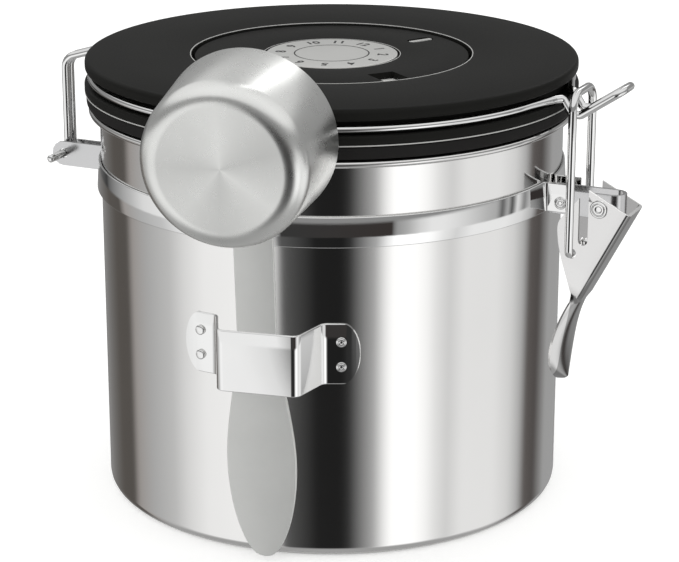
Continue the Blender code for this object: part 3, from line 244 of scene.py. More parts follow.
scoopLook = {
    "base": (0.92, 0.925, 0.905), "worn": (0.80, 0.805, 0.785),
    "roughness": 0.28, "handleRoughness": 0.60,
    "ringScale": 3400.0, "ringDetail": 2.0, "ringStrength": 0.11, "ringDepth": 0.00003,
    "cloudScale": 70, "cloudDetail": 5.0, "cloudShare": 0.75,
    "mottleScale": 420, "mottleDetail": 3.0, "mottleRoughness": 0.06,
    # painted highlight: a fan of lighter and darker rays on the cup's bottom, standing in for the glint
    # of its turned lines; bearing round its middle, tone
    "painted_highlight_fan": [(-180, 0.35), (-155, 0.60), (-130, 0.75), (-110, 0.45), (-92, 0.30), (-70, 0.50),
            (-35, 1.0), (-5, 0.55), (20, 0.20), (50, 0.50), (78, 0.80), (92, 1.0), (112, 0.85),
            (150, 0.60), (180, 0.35)],
    "paintedHighlightShare": 0.30, "fanFrom": 23.2, "fanTo": 24.9,
}


def scoopFinish(name, roughness):
    # satin steel with turning lines round the cup's own axis, and a painted highlight fan on the cup's
    # bottom
    look = scoopLook
    material, tree = startMaterial(name)
    upright = scoopPlace().inverted()
    move = (upright.translation - Vector((0, 0, stance["cupCentre"]))) * metresPerMm
    flat = objectPlace(tree, (1, 1, 1), upright.to_euler(), move)
    x, y, z = splitAxes(tree, flat)
    painted_highlight_fan = bearingRamp(tree, bearingOf(z, x * -1.0), look["painted_highlight_fan"])
    depth = [(stance["plane"] + look[key]) * metresPerMm for key in ("fanFrom", "fanTo")]
    bottom = easeBetween(tree, y, *depth)
    scaled = reachFrom(tree, flat, (1, 0, 1)) * look["ringScale"]
    rings = addNode(tree, "TexNoise", {"noise_dimensions": "1D"},
                    {"W": scaled, "Scale": 1.0, "Detail": look["ringDetail"]})
    cloud = noise(tree, objectPlace(tree, (look["cloudScale"],) * 3), look["cloudDetail"])
    mottle = noise(tree, objectPlace(tree, (look["mottleScale"],) * 3), look["mottleDetail"])
    worn = cloud * look["cloudShare"] + mottle * (1 - look["cloudShare"])
    satin = blendTones(tree, worn, look["worn"], look["base"])
    # painted highlight: the fan darkens the cup's bottom between its bright rays
    painted_highlight_tone = 1.0 - bottom * (1.0 - painted_highlight_fan) * look["paintedHighlightShare"]
    satin_with_painted_highlight = addNode(tree, "VectorMath", {"operation": "SCALE"}, {0: satin, 3: painted_highlight_tone})
    shader = addNode(tree, "BsdfPrincipled", None, {
        "Base Color": satin_with_painted_highlight,
        "Metallic": 1.0,
        "Roughness": mottle * look["mottleRoughness"] + (roughness - look["mottleRoughness"] / 2),
        "Normal": bumpFrom(tree, rings, look["ringStrength"], look["ringDepth"]),
    })
    return closeMaterial(material, shader)


softLooks = {
    # base tone, second tone, roughness, gloss level, grain scale, grain strength
    "lid_plastic": ((0.0105, 0.0105, 0.0096), (0.0145, 0.0145, 0.0134), 0.38, 0.03, 1700, 0.10),
    # painted highlight: pale plastic for the thin edge lines and the grip ridges, standing in for light
    # caught on edges
    "lid_edge_highlight": ((0.44, 0.44, 0.43), (0.58, 0.58, 0.56), 0.30, 0.50, 1700, 0.05),
    "gasket_rubber": ((0.0120, 0.0115, 0.0112), (0.0200, 0.0193, 0.0188), 0.50, 0.06, 2400, 0.16),
    "valve_silicone": ((0.55, 0.55, 0.53), (0.62, 0.62, 0.60), 0.45, 0.35, 900, 0.06),
    "print_white": ((0.78, 0.78, 0.75), (0.84, 0.84, 0.81), 0.50, 0.30, 1500, 0.05),
    "print_black": ((0.012, 0.012, 0.012), (0.022, 0.022, 0.022), 0.45, 0.30, 1500, 0.05),
}

softDetail = {
    "cloudScale": 45, "cloudDetail": 4.0, "grainDetail": 2.0, "spread": 0.10, "grainDepth": 0.00003,
}


def softFinish(slot):
    low, high, rough, gloss, grainScale, grainStrength = softLooks[slot]
    detail = softDetail
    material, tree = startMaterial(slot)
    cloud = noise(tree, objectPlace(tree, (detail["cloudScale"],) * 3), detail["cloudDetail"])
    grain = noise(tree, objectPlace(tree, (grainScale,) * 3), detail["grainDetail"])
    shader = addNode(tree, "BsdfPrincipled", None, {
        "Base Color": blendTones(tree, cloud, low, high),
        "Roughness": grain * detail["spread"] + (rough - detail["spread"] / 2),
        "Specular IOR Level": gloss,
        "Normal": bumpFrom(tree, grain, grainStrength, detail["grainDepth"]),
    })
    return closeMaterial(material, shader)


finishes = {slot: steelFinish(slot) for slot in steelLooks if slot != "plate_steel"}
finishes["plate_steel"] = steelFinish("plate_steel", "plate_satin", steelDetail["plateMetal"])
finishes["scoop_steel"] = scoopFinish("scoop_steel", scoopLook["roughness"])
finishes["handle_satin"] = scoopFinish("handle_satin", scoopLook["handleRoughness"])
finishes.update({slot: softFinish(slot) for slot in softLooks})
print("finishes ready:", len(finishes))


# Making pieces

making = {
    "cornerSegments": 5, "edgeSegments": 3, "letterWeight": 0.022, "letterResolution": 4,
    "wireResolution": 6, "sheetResolution": 3, "ink": 0.03,
    "endSteps": 16, "highlightLineSides": 8,      # segments in a half round end, and round an edge line
    "cornerShare": 0.49,                     # most of a side that one rounded corner takes
    # copies of CAD nodes, in mm and degrees
    "copyWeld": 0.001, "copyFlat": 2, "copyEdge": 0.16, "copySharp": 40,
}


def weld(shape, distance=weldDistance):
    bmesh.ops.remove_doubles(shape, verts=shape.verts[:], dist=distance)
    return shape


def faceOut(shape):
    bmesh.ops.recalc_face_normals(shape, faces=shape.faces[:])
    return shape


def inOrder(shape):
    # a spin lists its faces in another order each run, and this makes it the same
    shape.verts.index_update()
    ranked = sorted(shape.faces, key=lambda face: sorted(vert.index for vert in face.verts))
    for index, face in enumerate(ranked):
        face.index = index
    shape.faces.sort()
    return shape


def hold(name, data):
    holder = bpy.data.objects.new(name, data)
    bpy.context.scene.collection.objects.link(holder)
    return holder


def meshFrom(name, shape):
    mesh = bpy.data.meshes.new(name)
    shape.to_mesh(mesh)
    shape.free()
    return mesh


def settle(name, shape, finish, body, stands=(), sharp=32, place=None):
    # a finished bmesh, in mm, becomes a piece that rides on its body
    if place:
        shape.transform(place)
    mesh = meshFrom(name, faceOut(weld(shape)))
    mesh.transform(Matrix.Scale(metresPerMm, 4))
    mesh.shade_smooth()
    mesh.set_sharp_from_angle(angle=math.radians(sharp))
    mesh.materials.append(finishes[finish])
    piece = hold(name, mesh)
    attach(piece, body)
    if stands:
        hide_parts(*stands)
    return piece


def turned(corners, closed=True, steps=192):
    # a section of (radius, height, rounding) corners, spun round Z
    shape = bmesh.new()
    verts = [shape.verts.new((corner[0], 0, corner[1])) for corner in corners]
    for here, there in zip(verts, verts[1:]):
        shape.edges.new((here, there))
    if closed:
        shape.edges.new((verts[-1], verts[0]))
    for vert, corner in zip(verts, corners):
        if len(corner) > 2:
            bmesh.ops.bevel(shape, geom=[vert], offset=corner[2], offset_type="OFFSET", profile=0.5,
                            segments=making["cornerSegments"], affect="VERTICES", material=-1)
    bmesh.ops.spin(shape, geom=shape.verts[:] + shape.edges[:], axis=(0, 0, 1), cent=(0, 0, 0),
                   dvec=(0, 0, 0), angle=math.tau, steps=steps, use_merge=True, use_duplicate=False)
    return faceOut(weld(inOrder(shape)))


def evaluated(holder):
    # the mesh that a curve, a text or a modifier makes, as a bmesh; the holder is removed
    bpy.context.view_layer.update()
    graph = bpy.context.evaluated_depsgraph_get()
    mesh = bpy.data.meshes.new_from_object(holder.evaluated_get(graph))
    bpy.data.objects.remove(holder)
    shape = bmesh.new()
    shape.from_mesh(mesh)
    bpy.data.meshes.remove(mesh)
    return weld(shape)


def carved(shape, cutter, operation="DIFFERENCE"):
    holders = [hold("carving", meshFrom("carving", faceOut(part))) for part in (shape, cutter)]
    change = holders[0].modifiers.new("carving", "BOOLEAN")
    change.operation = operation
    change.object = holders[1]
    change.solver = "EXACT"
    result = evaluated(holders[0])
    bpy.data.objects.remove(holders[1])
    return result


def joined(shapes):
    # several bmeshes in one
    whole = bmesh.new()
    for shape in shapes:
        mesh = meshFrom("joining", shape)
        whole.from_mesh(mesh)
        bpy.data.meshes.remove(mesh)
    return whole


def bentPath(points, roundings, steps=8):
    # an open path whose inner corners are arcs
    path = [Vector(point) for point in points]
    result = [path[0]]
    for index, rounding in enumerate(roundings, start=1):
        here = path[index]
        back = path[index - 1] - here
        onward = path[index + 1] - here
        half = back.angle(onward) / 2
        reach = min(rounding / math.tan(half), min(back.length, onward.length) * making["cornerShare"])
        size = reach * math.tan(half)
        middle = here + (back.normalized() + onward.normalized()).normalized() * (size / math.sin(half))
        start = here + back.normalized() * reach - middle
        end = here + onward.normalized() * reach - middle
        for step in range(steps + 1):
            result.append(middle + start.lerp(end, step / steps).normalized() * size)
    result.append(path[-1])
    return result


def curveData(path, closed=False, tip=None, **settings):
    curve = bpy.data.curves.new("path", "CURVE")
    for key, value in settings.items():
        setattr(curve, key, value)
    spline = curve.splines.new("POLY")
    spline.points.add(len(path) - 1)
    for point, place in zip(spline.points, path):
        point.co = (*Vector(place).to_3d(), 1)
    spline.use_cyclic_u = closed
    if tip:
        spline.points[0].radius = spline.points[-1].radius = tip
    return curve


def wire(path, radius, chamfer=0.3):
    # round wire along an open path, its two ends slightly chamfered
    path = [Vector(point) for point in path]
    starts = path[0] + (path[1] - path[0]).normalized() * (radius * chamfer)
    ends = path[-1] + (path[-2] - path[-1]).normalized() * (radius * chamfer)
    path = [path[0], starts] + path[1:-1] + [ends, path[-1]]
    return evaluated(hold("wire", curveData(
        path, tip=1 - chamfer, dimensions="3D", bevel_depth=radius,
        bevel_resolution=making["wireResolution"], use_fill_caps=True)))


def strip(path, height, sheet):
    # sheet bent along a path in the XY plane, standing up on both sides of it
    return evaluated(hold("strip", curveData(
        path, dimensions="3D", twist_mode="Z_UP", fill_mode="FULL", use_fill_caps=True,
        extrude=height / 2 - sheet / 2, bevel_depth=sheet / 2,
        bevel_resolution=making["sheetResolution"])))


def plate(outline, thickness, edge):
    # a filled outline in the XY plane with rounded edges
    return evaluated(hold("plate", curveData(
        outline, closed=True, dimensions="2D", fill_mode="BOTH", extrude=thickness / 2 - edge,
        bevel_depth=edge, bevel_resolution=making["sheetResolution"], offset=-edge)))


def block(low, high, edge=0.0):
    shape = bmesh.new()
    bmesh.ops.create_cube(shape, size=1)
    size = Vector(high) - Vector(low)
    bmesh.ops.scale(shape, vec=size, verts=shape.verts[:])
    bmesh.ops.translate(shape, vec=(Vector(low) + Vector(high)) / 2, verts=shape.verts[:])
    if edge:
        bmesh.ops.bevel(shape, geom=shape.edges[:], offset=edge, offset_type="OFFSET", profile=0.5,
                        segments=making["edgeSegments"], affect="EDGES", material=-1)
    return shape


def rod(radius, depth, place, segments=32):
    shape = bmesh.new()
    bmesh.ops.create_cone(shape, cap_ends=True, segments=segments, radius1=radius, radius2=radius,
                          depth=depth)
    shape.transform(place)
    return shape


def lettering(text, size, thickness):
    font = bpy.data.curves.new("lettering", "FONT")
    font.body = text
    font.size = size
    font.align_x = "CENTER"
    font.align_y = "CENTER"
    font.extrude = thickness / 2
    font.offset = size * making["letterWeight"]
    font.resolution_u = making["letterResolution"]
    return evaluated(hold("lettering", font))


def alongY(x, z, y=0.0):
    return moveBy(x, y, z) @ turnBy(90, "X")


def easeEdges(piece, width, segments, sharp):
    ease = piece.modifiers.new("eased", "BEVEL")
    ease.width = width * metresPerMm
    ease.segments = segments
    ease.limit_method = "ANGLE"
    ease.angle_limit = math.radians(sharp)
    ease.harden_normals = True


def raised(section, lift):
    return [(across, up + lift, *rounding) for across, up, *rounding in section]


def refinedCopy(node, finish, body):
    # a CAD node whose shape is right, merged and with its edges eased
    mesh = nodes[node].data.copy()
    mesh.transform(Matrix.Scale(1 / metresPerMm, 4))
    shape = bmesh.new()
    shape.from_mesh(mesh)
    bpy.data.meshes.remove(mesh)
    weld(shape, making["copyWeld"])
    bmesh.ops.dissolve_limit(shape, angle_limit=math.radians(making["copyFlat"]), verts=shape.verts[:],
                             edges=shape.edges[:])
    piece = settle(node + "_eased", shape, finish, body, (node,))
    easeEdges(piece, making["copyEdge"], making["edgeSegments"], making["copySharp"])


# The can and its band

can = {
    "radius": 62.5, "height": 106.9, "wall": 0.8, "baseCorner": 3.0,
    "rimRadius": 65.4, "rimThickness": 1.9, "rimEdge": 0.9, "rimNeck": 0.4, "mouthEdge": 0.6,
    "footInner": 52.0, "footDepth": 1.2, "footSlope": 1.4, "footEdge": 0.5,
    "floorTop": 2.0, "floorSheet": 1.1, "floorCorner": 2.4, "floorStep": 0.8, "floorEdge": 0.6,
    "steps": 240,
}


def makeCan():
    c = can
    r, h, foot = c["radius"], c["height"], c["footInner"]
    inner = r - c["wall"]
    underRim = h - c["rimThickness"]
    corner = c["floorTop"] - c["floorSheet"]
    section = [
        (0, c["footDepth"]), (foot - c["footSlope"], c["footDepth"], c["footEdge"]),
        (foot, 0, c["footEdge"]), (r, 0, c["baseCorner"]), (r, underRim, c["rimNeck"]),
        (c["rimRadius"], underRim, c["rimEdge"]), (c["rimRadius"], h, c["rimEdge"]),
        (inner, h, c["mouthEdge"]), (inner, corner, c["floorCorner"]),
        (foot + c["floorStep"], corner, c["floorEdge"]),
        (foot - c["floorStep"], c["floorTop"], c["floorEdge"]), (0, c["floorTop"]),
    ]
    settle("can_shell", turned(section, closed=False, steps=c["steps"]), "body_steel", "can",
           ("canister_body",))


band = {
    "radius": 63.15, "centre": 88.2, "height": 7.8, "sheet": 0.6,
    "earMiddle": 3.9, "earEnd": 70.2, "earBend": 1.1, "lean": 0.068, "arcStep": 2.0, "sharp": 15,
}


def makeBand():
    r = band["radius"]
    ear = band["earMiddle"]
    join = math.degrees(math.asin(ear / r))
    corner = (r * math.cos(math.radians(join)), ear)
    first = join + band["arcStep"]
    turns = round((360 - 2 * first) / band["arcStep"])
    arc = [polar(r, first + (360 - 2 * first) * step / turns) for step in range(turns + 1)]
    start = bentPath([(band["earEnd"], ear, 0), (*corner, 0), arc[0]], [band["earBend"]])
    end = [Vector((point.x, -point.y, 0)) for point in reversed(start)]
    shape = strip(start[:-1] + arc + end[1:], band["height"], band["sheet"])
    for vert in shape.verts:              # the band leans in at its top, the ears stand upright
        reach = Vector((vert.co.x, vert.co.y)).length
        if reach < r + band["sheet"] or vert.co.x < 0:
            vert.co.xy *= 1 - band["lean"] * vert.co.z / reach
    settle("clamp_strip", shape, "band_steel", "can", ("clamp_band",), band["sharp"],
           moveBy(0, 0, band["centre"]))


# Rivets and studs share one turned head; the axis is Z and the face that it sits on is z = 0

rivets = {
    # head radius, height, pin radius, pin length below the face
    "band_rivet": (1.7, 0.5, 0.9, 2.3), "hinge_rivet": (1.7, 0.5, 0.9, 1.9),
    "holder_stud": (1.3, 0.4, 0.8, 0.1),
    # shares of the head's radius and height, and of its radius for the rounding
    "dimple": [(0.0, 0.55), (0.30, 0.55, 0.06), (0.40, 0.95, 0.06), (0.62, 0.95, 0.08),
               (0.70, 0.5, 0.05)],
    "crown": [(0.0, 1.0), (0.55, 1.0, 0.2)],
    "skirt": [(0.84, 0.75, 0.06), (1.0, 0.45, 0.05), (1.0, 0.0)],
    "bandRivetX": 67.6, "bandRivetFace": 4.5, "strapInside": 2.2, "tail": 0.5, "tailEdge": 0.2,
    "hingeFace": 64.8, "hingeRivetZ": 88.2, "leverRadius": 2.4, "leverHeight": 0.4, "leverPin": 1.3,
    "leverFace": 6.1, "leverX": 78.6, "axisZ": 87.0,
    "studFace": 63.9, "studAngle": 16.9, "studSpacing": 6.6, "studZ": 56.5,
    "steps": 40, "leverSteps": 48,
}


def rivetHead(radius, height, top="dimple"):
    return [(across * radius, up * height, *(share * radius for share in rounding))
            for across, up, *rounding in rivets[top] + rivets["skirt"]]


def pinned(kind, top="dimple"):
    radius, height, pin, length = rivets[kind]
    section = rivetHead(radius, height, top) + [(pin, 0), (pin, -length), (0, -length)]
    return turned(section, closed=False, steps=rivets["steps"])


def makeRivets():
    s = rivets
    z, face = s["axisZ"], s["bandRivetFace"]
    inside, tail = s["strapInside"], s["strapInside"] - s["tail"]
    radius, height, pin, length = s["band_rivet"]
    for name, side in (("band_rivet_front", 90), ("band_rivet_rear", -90)):
        place = moveBy(s["bandRivetX"], 0, z) @ turnBy(side, "X")
        section = raised(rivetHead(radius, height), face) + [
            (pin, face), (pin, inside), (radius, inside), (radius, tail, s["tailEdge"]), (0, tail)]
        settle(name + "_turned", turned(section, closed=False, steps=s["steps"]), "wire_steel", "can",
               (name,), place=place)
    place = moveBy(-s["hingeFace"], 0, s["hingeRivetZ"]) @ turnBy(-90, "Y")
    settle("hinge_rivet_turned", pinned("hinge_rivet"), "wire_steel", "can", ("hinge_rivet",),
           place=place)
    half = raised(rivetHead(s["leverRadius"], s["leverHeight"]), s["leverFace"])
    half.append((s["leverPin"], s["leverFace"]))
    section = half + [(across, -up, *rounding) for across, up, *rounding in reversed(half)]
    settle("lever_rivet_turned", turned(section, closed=False, steps=s["leverSteps"]), "wire_steel",
           "can", ("lever_rivet",), place=alongY(s["leverX"], z))
    stand = moveBy(s["studFace"], 0, 0) @ turnBy(90, "Y")
    for index, (side, level) in enumerate(((-1, -1), (-1, 1), (1, -1), (1, 1)), start=1):
        turn = turnBy(stance["angle"] + side * s["studAngle"])
        lift = moveBy(0, 0, s["studZ"] + level * s["studSpacing"] / 2)
        finish, top = ("wire_steel", "dimple") if side > 0 else ("fitting_steel", "crown")
        settle(f"holder_stud_{index}_turned", pinned("holder_stud", top), finish, "can",
               (f"holder_stud_{index}",), place=lift @ turn @ stand)


# The scoop's holder

holder = {
    "padRadius": 63.2, "sheet": 0.8, "halfWidth": 10.6, "flare": 3.2, "front": 73.2,
    "bend": 2.0, "footBend": 2.6, "padAngle": 21.3, "padEnd": 4.5, "height": 16.2, "centre": 56.5,
    "padSteps": 8, "bendStart": 4, "endSteps": 24, "endEase": 0.02, "trimDepth": 60, "sharp": 16,
}


def makeHolder():
    k = holder
    pad, reach, steps = k["padRadius"], k["padAngle"], k["padSteps"]
    foot = math.degrees(math.asin((k["halfWidth"] + k["flare"]) / pad))
    side = k["halfWidth"] - k["sheet"] / 2
    front = k["front"] - k["sheet"] / 2
    left = [polar(pad, 90 + reach + (foot - reach) * step / steps) for step in range(steps + 1)]
    right = [Vector((-point.x, point.y, 0)) for point in reversed(left)]
    start = k["bendStart"]
    corners = [left[-start], left[-1], (-side, front, 0), (side, front, 0), right[0], right[start - 1]]
    middle = bentPath(corners, [k["footBend"], k["bend"], k["bend"], k["footBend"]])
    shape = strip(left[:-start] + middle + right[start:], k["height"], k["sheet"])
    straight = pad * math.sin(math.radians(reach)) - k["padEnd"]
    stretch = (k["height"] / 2 + k["endEase"]) / k["padEnd"]
    ends = []
    for sign in (1, -1):
        for step in range(k["endSteps"] + 1):
            angle = math.radians(90 - 180 * step / k["endSteps"])
            x, y = k["padEnd"] * math.cos(angle), k["padEnd"] * math.sin(angle) * stretch
            ends.append(Vector((straight + x, y)) * sign)
    keep = plate(ends, k["trimDepth"], 0)
    keep.transform(alongY(0, 0, front))
    shape = carved(shape, keep, "INTERSECT")
    place = holderPlace() @ moveBy(0, 0, k["centre"])
    settle("scoop_holder_strip", shape, "band_steel", "can", ("scoop_holder",),
           k["sharp"], place)


makeCan()
makeBand()
makeRivets()
makeHolder()
refined = {"hinge_bracket": "ear_steel", "hinge_keeper": "wire_steel", "latch_strap": "ear_steel"}
for node, finish in refined.items():
    refinedCopy(node, finish, "can")
print("can, band, holder and hinge made")


# The lid

lid = {
    # sections: radius, height, rounding
    "cover": [(3.3, 117.0), (37.6, 117.0, 0.3), (37.6, 120.0, 0.35), (66.1, 120.0, 1.2),
              (66.1, 117.0, 0.7), (63.0, 117.0, 0.3), (63.0, 113.7), (61.2, 113.7), (61.2, 118.2),
              (39.0, 118.2), (39.0, 116.0), (3.3, 116.0)],
    "base": [(10.1, 113.4), (66.3, 113.4, 0.5), (66.3, 111.0, 0.5), (10.1, 111.0)],
    "gasket": [(60.2, 110.7, 0.3), (65.9, 110.7, 0.55), (65.9, 107.2, 1.3), (60.2, 107.2, 0.4)],
    "pan": [(10.1, 107.3), (58.7, 107.3, 0.7), (58.7, 110.7, 0.2), (59.4, 110.7, 0.2),
            (59.4, 106.6, 1.4), (10.1, 106.6, 0.2)],
    "valveHousing": [(1.3, 108.1), (7.8, 108.1), (7.8, 112.6, 0.2), (9.8, 112.6, 0.2),
                     (9.8, 106.3), (13.2, 106.3, 0.4), (13.2, 105.1, 0.5), (7.8, 105.1, 0.2),
                     (7.8, 107.3), (1.3, 107.3)],
    "valveFilter": [(0.6, 106.1), (7.5, 106.1, 0.1), (7.5, 105.5, 0.1), (0.6, 105.5)],
    "filterHoles": 8, "filterHoleRadius": 0.6, "filterCircle": 4.0, "filterTurn": 0.37,
    "filterMiddle": 105.8, "filterCut": 3, "filterHoleSides": 20,
    "steps": 192, "housingSteps": 96, "filterSteps": 64,
}


def makeLid():
    for name, key, finish, steps in (
            ("lid_cover_moulded", "cover", "lid_plastic", lid["steps"]),
            ("lid_base_moulded", "base", "lid_plastic", lid["steps"]),
            ("lid_gasket_moulded", "gasket", "gasket_rubber", lid["steps"]),
            ("lid_pan_pressed", "pan", "body_steel", lid["steps"]),
            ("valve_housing_moulded", "valveHousing", "lid_plastic", lid["housingSteps"])):
        settle(name, turned(lid[key], steps=steps), finish, "lid", (name.rpartition("_")[0],))
    disc = turned(lid["valveFilter"], steps=lid["filterSteps"])
    for index in range(lid["filterHoles"]):
        degrees = (index + lid["filterTurn"]) * 360 / lid["filterHoles"]
        spot = moveBy(*polar(lid["filterCircle"], degrees, lid["filterMiddle"]))
        disc = carved(disc, rod(lid["filterHoleRadius"], lid["filterCut"], spot, lid["filterHoleSides"]))
    settle("valve_filter_pierced", disc, "plate_steel", "lid", ("valve_filter",))


lidHighlightLines = {
    # painted highlights: thin pale rings on the moulding's edges; body, radius, height, half width
    "well_edge_line": ("lid", 37.85, 119.93, 0.15), "plate_edge_line": ("dial", 18.45, 119.45, 0.12),
    "base_edge_line": ("lid", 66.15, 110.95, 0.16),
}


def makeLidEdges():
    # each ring is a painted highlight line along an edge of the moulding
    sides = making["highlightLineSides"]
    turns = [math.tau * step / sides for step in range(sides)]
    for name, (body, radius, height, half) in lidHighlightLines.items():
        ring = [(radius + half * math.cos(turn), height + half * math.sin(turn)) for turn in turns]
        settle(name, turned(ring), "lid_edge_highlight", body)


screw = {
    "count": 4, "circle": 50.1, "firstAt": 45, "turn": 0.3, "top": 115.8, "radius": 1.2, "tipShare": 0.4,
    "headRadius": 2.6, "headBottom": 105.2, "headTop": 106.3, "headSide": 0.45, "headEdge": 0.2,
    "faceShare": 0.7, "faceEdge": 0.5, "crossLength": 2.6, "crossWidth": 0.55, "crossDepth": 0.6,
    "cutOver": 1, "steps": 40,
}


def makeScrews():
    s = screw
    radius, head, low, long, wide = (s[key] for key in (
        "radius", "headRadius", "headBottom", "crossLength", "crossWidth"))
    section = [(0, s["top"]), (radius * s["tipShare"], s["top"]), (radius, s["top"] - radius),
               (radius, s["headTop"]), (head, s["headTop"]), (head, low + s["headSide"], s["headEdge"]),
               (head * s["faceShare"], low, s["faceEdge"]), (0, low)]
    for index in range(s["count"]):
        shape = turned(section, closed=False, steps=s["steps"])
        for x, y in ((long / 2, wide / 2), (wide / 2, long / 2)):
            shape = carved(shape, block((-x, -y, low - s["cutOver"]), (x, y, low + s["crossDepth"])))
        spot = polar(s["circle"], s["firstAt"] + 360 / s["count"] * index)
        place = moveBy(*spot) @ Matrix.Rotation(s["turn"] + index, 4, "Z")
        settle(f"lid_screw_{index + 1}_turned", shape, "wire_steel", "lid", (f"lid_screw_{index + 1}",),
               place=place)


lidWire = {
    "radius": 1.1, "hoop": 64.4, "hoopZ": 114.8, "bend": 1.3, "endAngle": 14.0, "step": 2.5,
    "tipX": 83.0, "tipZ": 118.1, "crookX": 71.1, "crookZ": 110.9, "crookLength": 2.4,
    "neckX": 67.3, "shoulderX": 65.8, "tabHalf": 4.4, "flare": 1.8,
    "hingeX": -82.7, "hingeZ": 83.6, "legHalf": 1.3, "legBend": 4.0, "pinBend": 1.6,
    "legShoulderX": -70.1, "legDrop": 3.8, "frontPin": 10.2, "rearPin": 4.4, "sharp": 50,
}


def makeLidWire():
    w = lidWire
    half = w["tabHalf"]
    z = w["hoopZ"]
    ends = 180 - math.degrees(math.asin((w["legHalf"] + w["legBend"]) / w["hoop"]))
    points = [
        (w["tipX"], 0, w["tipZ"]), (w["tipX"], half, w["tipZ"]),
        (w["crookX"] + w["crookLength"] / 2, half, w["crookZ"]),
        (w["crookX"] - w["crookLength"] / 2, half, w["crookZ"]),
        (w["neckX"], half, z), (w["shoulderX"], half + w["flare"], z),
        polar(w["hoop"], w["endAngle"], z),
    ]
    tab = bentPath(points, [half, w["bend"], w["bend"], w["bend"], w["bend"]])
    turns = round((ends - w["endAngle"]) / w["step"])
    hoop = [polar(w["hoop"], w["endAngle"] + (ends - w["endAngle"]) * step / turns, z)
            for step in range(1, turns + 1)]
    sides = []
    for side, pin in ((1, w["rearPin"]), (-1, w["frontPin"])):
        y = side * w["legHalf"]
        leg = bentPath([polar(w["hoop"], side * ends, z), (-w["hoop"] - w["radius"], y, z),
                        (w["legShoulderX"], y, z), (w["hingeX"], y, z - w["legDrop"]),
                        (w["hingeX"], y, w["hingeZ"]), (w["hingeX"], y + side * pin, w["hingeZ"])],
                       [w["legBend"], w["legBend"], w["legBend"], w["pinBend"]])
        sides.append([Vector((point.x, point.y * side, point.z)) for point in tab + hoop] + leg[1:])
    path = sides[0][::-1] + sides[1][1:]
    settle("lid_wire_bent", wire(path, w["radius"]), "wire_steel", "lid", ("lid_wire",),
           sharp=w["sharp"])


makeLid()
makeLidEdges()
makeScrews()
makeLidWire()
print("lid made")


# Date dial, month plate and day ring

dial = {
    "section": [(15.6, 118.6), (18.2, 118.6, 0.15), (18.2, 119.5, 0.2), (36.8, 119.5, 0.35),
                (36.8, 117.9, 0.35), (15.6, 117.9)],
    "top": 119.5, "bottom": 117.9, "turn": 60.0, "windowAt": -37.0,
    "slotInner": 25.8, "slotOuter": 33.8, "slotWidth": 3.8, "slotDepth": 1.0, "cutOver": 2,
    "ridgeWidth": 1.3, "ridgeGap": 0.4, "ridgeSunk": 0.1, "ridgeEdge": 0.2,
    "windowInner": 26.6, "windowOuter": 35.6, "windowWidth": 7.5,
}


def capsule(inner, outer, width, low, high, degrees):
    # an upright slot shape with round ends, lying along a radius
    half, steps = width / 2, making["endSteps"]
    outline = []
    for centre, start in ((outer - half, -90), (inner + half, 90)):
        for step in range(steps + 1):
            angle = math.radians(start + 180 * step / steps)
            outline.append((centre + half * math.cos(angle), half * math.sin(angle)))
    shape = plate(outline, high - low, 0)
    shape.transform(turnBy(degrees) @ moveBy(0, 0, (low + high) / 2))
    return shape


def makeDial():
    d = dial
    shape = turned(d["section"])
    ridges = []
    floor, over = d["top"] - d["slotDepth"], d["top"] + d["cutOver"]
    for degrees in (d["turn"], d["turn"] + 180):
        slot = capsule(d["slotInner"], d["slotOuter"], d["slotWidth"], floor, over, degrees)
        shape = carved(shape, slot)
        ridge = block((d["slotInner"] + d["ridgeGap"], -d["ridgeWidth"] / 2, floor - d["ridgeSunk"]),
                      (d["slotOuter"] - d["ridgeGap"], d["ridgeWidth"] / 2, d["top"]), d["ridgeEdge"])
        ridge.transform(turnBy(degrees))
        ridges.append(ridge)
    window = block((d["windowInner"], -d["windowWidth"] / 2, d["bottom"] - d["cutOver"]),
                   (d["windowOuter"], d["windowWidth"] / 2, over))
    window.transform(turnBy(d["windowAt"]))
    shape = carved(shape, window)
    settle("date_dial_moulded", shape, "lid_plastic", "dial", ("date_dial",))
    # the grip ridges are painted pale: a painted highlight on them
    settle("dial_grips", joined(ridges), "lid_edge_highlight", "dial")


month = {
    "section": [(0, 119.6), (17.7, 119.6, 0.2), (17.7, 118.9, 0.1), (3.0, 118.9), (3.0, 114.8),
                (3.8, 114.8), (3.8, 114.3), (0, 114.3)],
    "top": 119.6,
    "numbers": {"count": 12, "circle": 13.7, "size": 4.0, "shown": 12, "at": 77.0, "turn": -90},
    "ringRadius": 10.0, "ringWidth": 0.35, "steps": 144,
}


def numberRing(numbers, top):
    # numbers from 1 round a circle, clockwise; the one that is shown stands at a given bearing
    marks, ink = [], making["ink"]
    for number in range(1, numbers["count"] + 1):
        degrees = numbers["at"] + (numbers["shown"] - number) * 360 / numbers["count"]
        mark = lettering(str(number), numbers["size"], ink)
        spot = polar(numbers["circle"], degrees, top + ink / 2)
        mark.transform(moveBy(*spot) @ turnBy(degrees + numbers["turn"]))
        marks.append(mark)
    return joined(marks)


def makeMonthPlate():
    m = month
    settle("month_plate_turned", turned(m["section"], closed=False, steps=m["steps"]), "plate_steel",
           "month", ("month_plate",))
    numbers = numberRing(m["numbers"], m["top"])
    settle("month_numbers", numbers, "print_black", "month")
    inner, outer = (m["ringRadius"] + side * m["ringWidth"] / 2 for side in (-1, 1))
    low, high = m["top"], m["top"] + making["ink"]
    line = [(inner, low), (inner, high), (outer, high), (outer, low)]
    settle("month_ring_line", turned(line, steps=m["steps"]), "print_black", "month")


day = {
    "top": 117.6,
    "numbers": {"count": 31, "circle": 31.1, "size": 5.2, "shown": 21, "at": dial["windowAt"],
                "turn": 0},
}


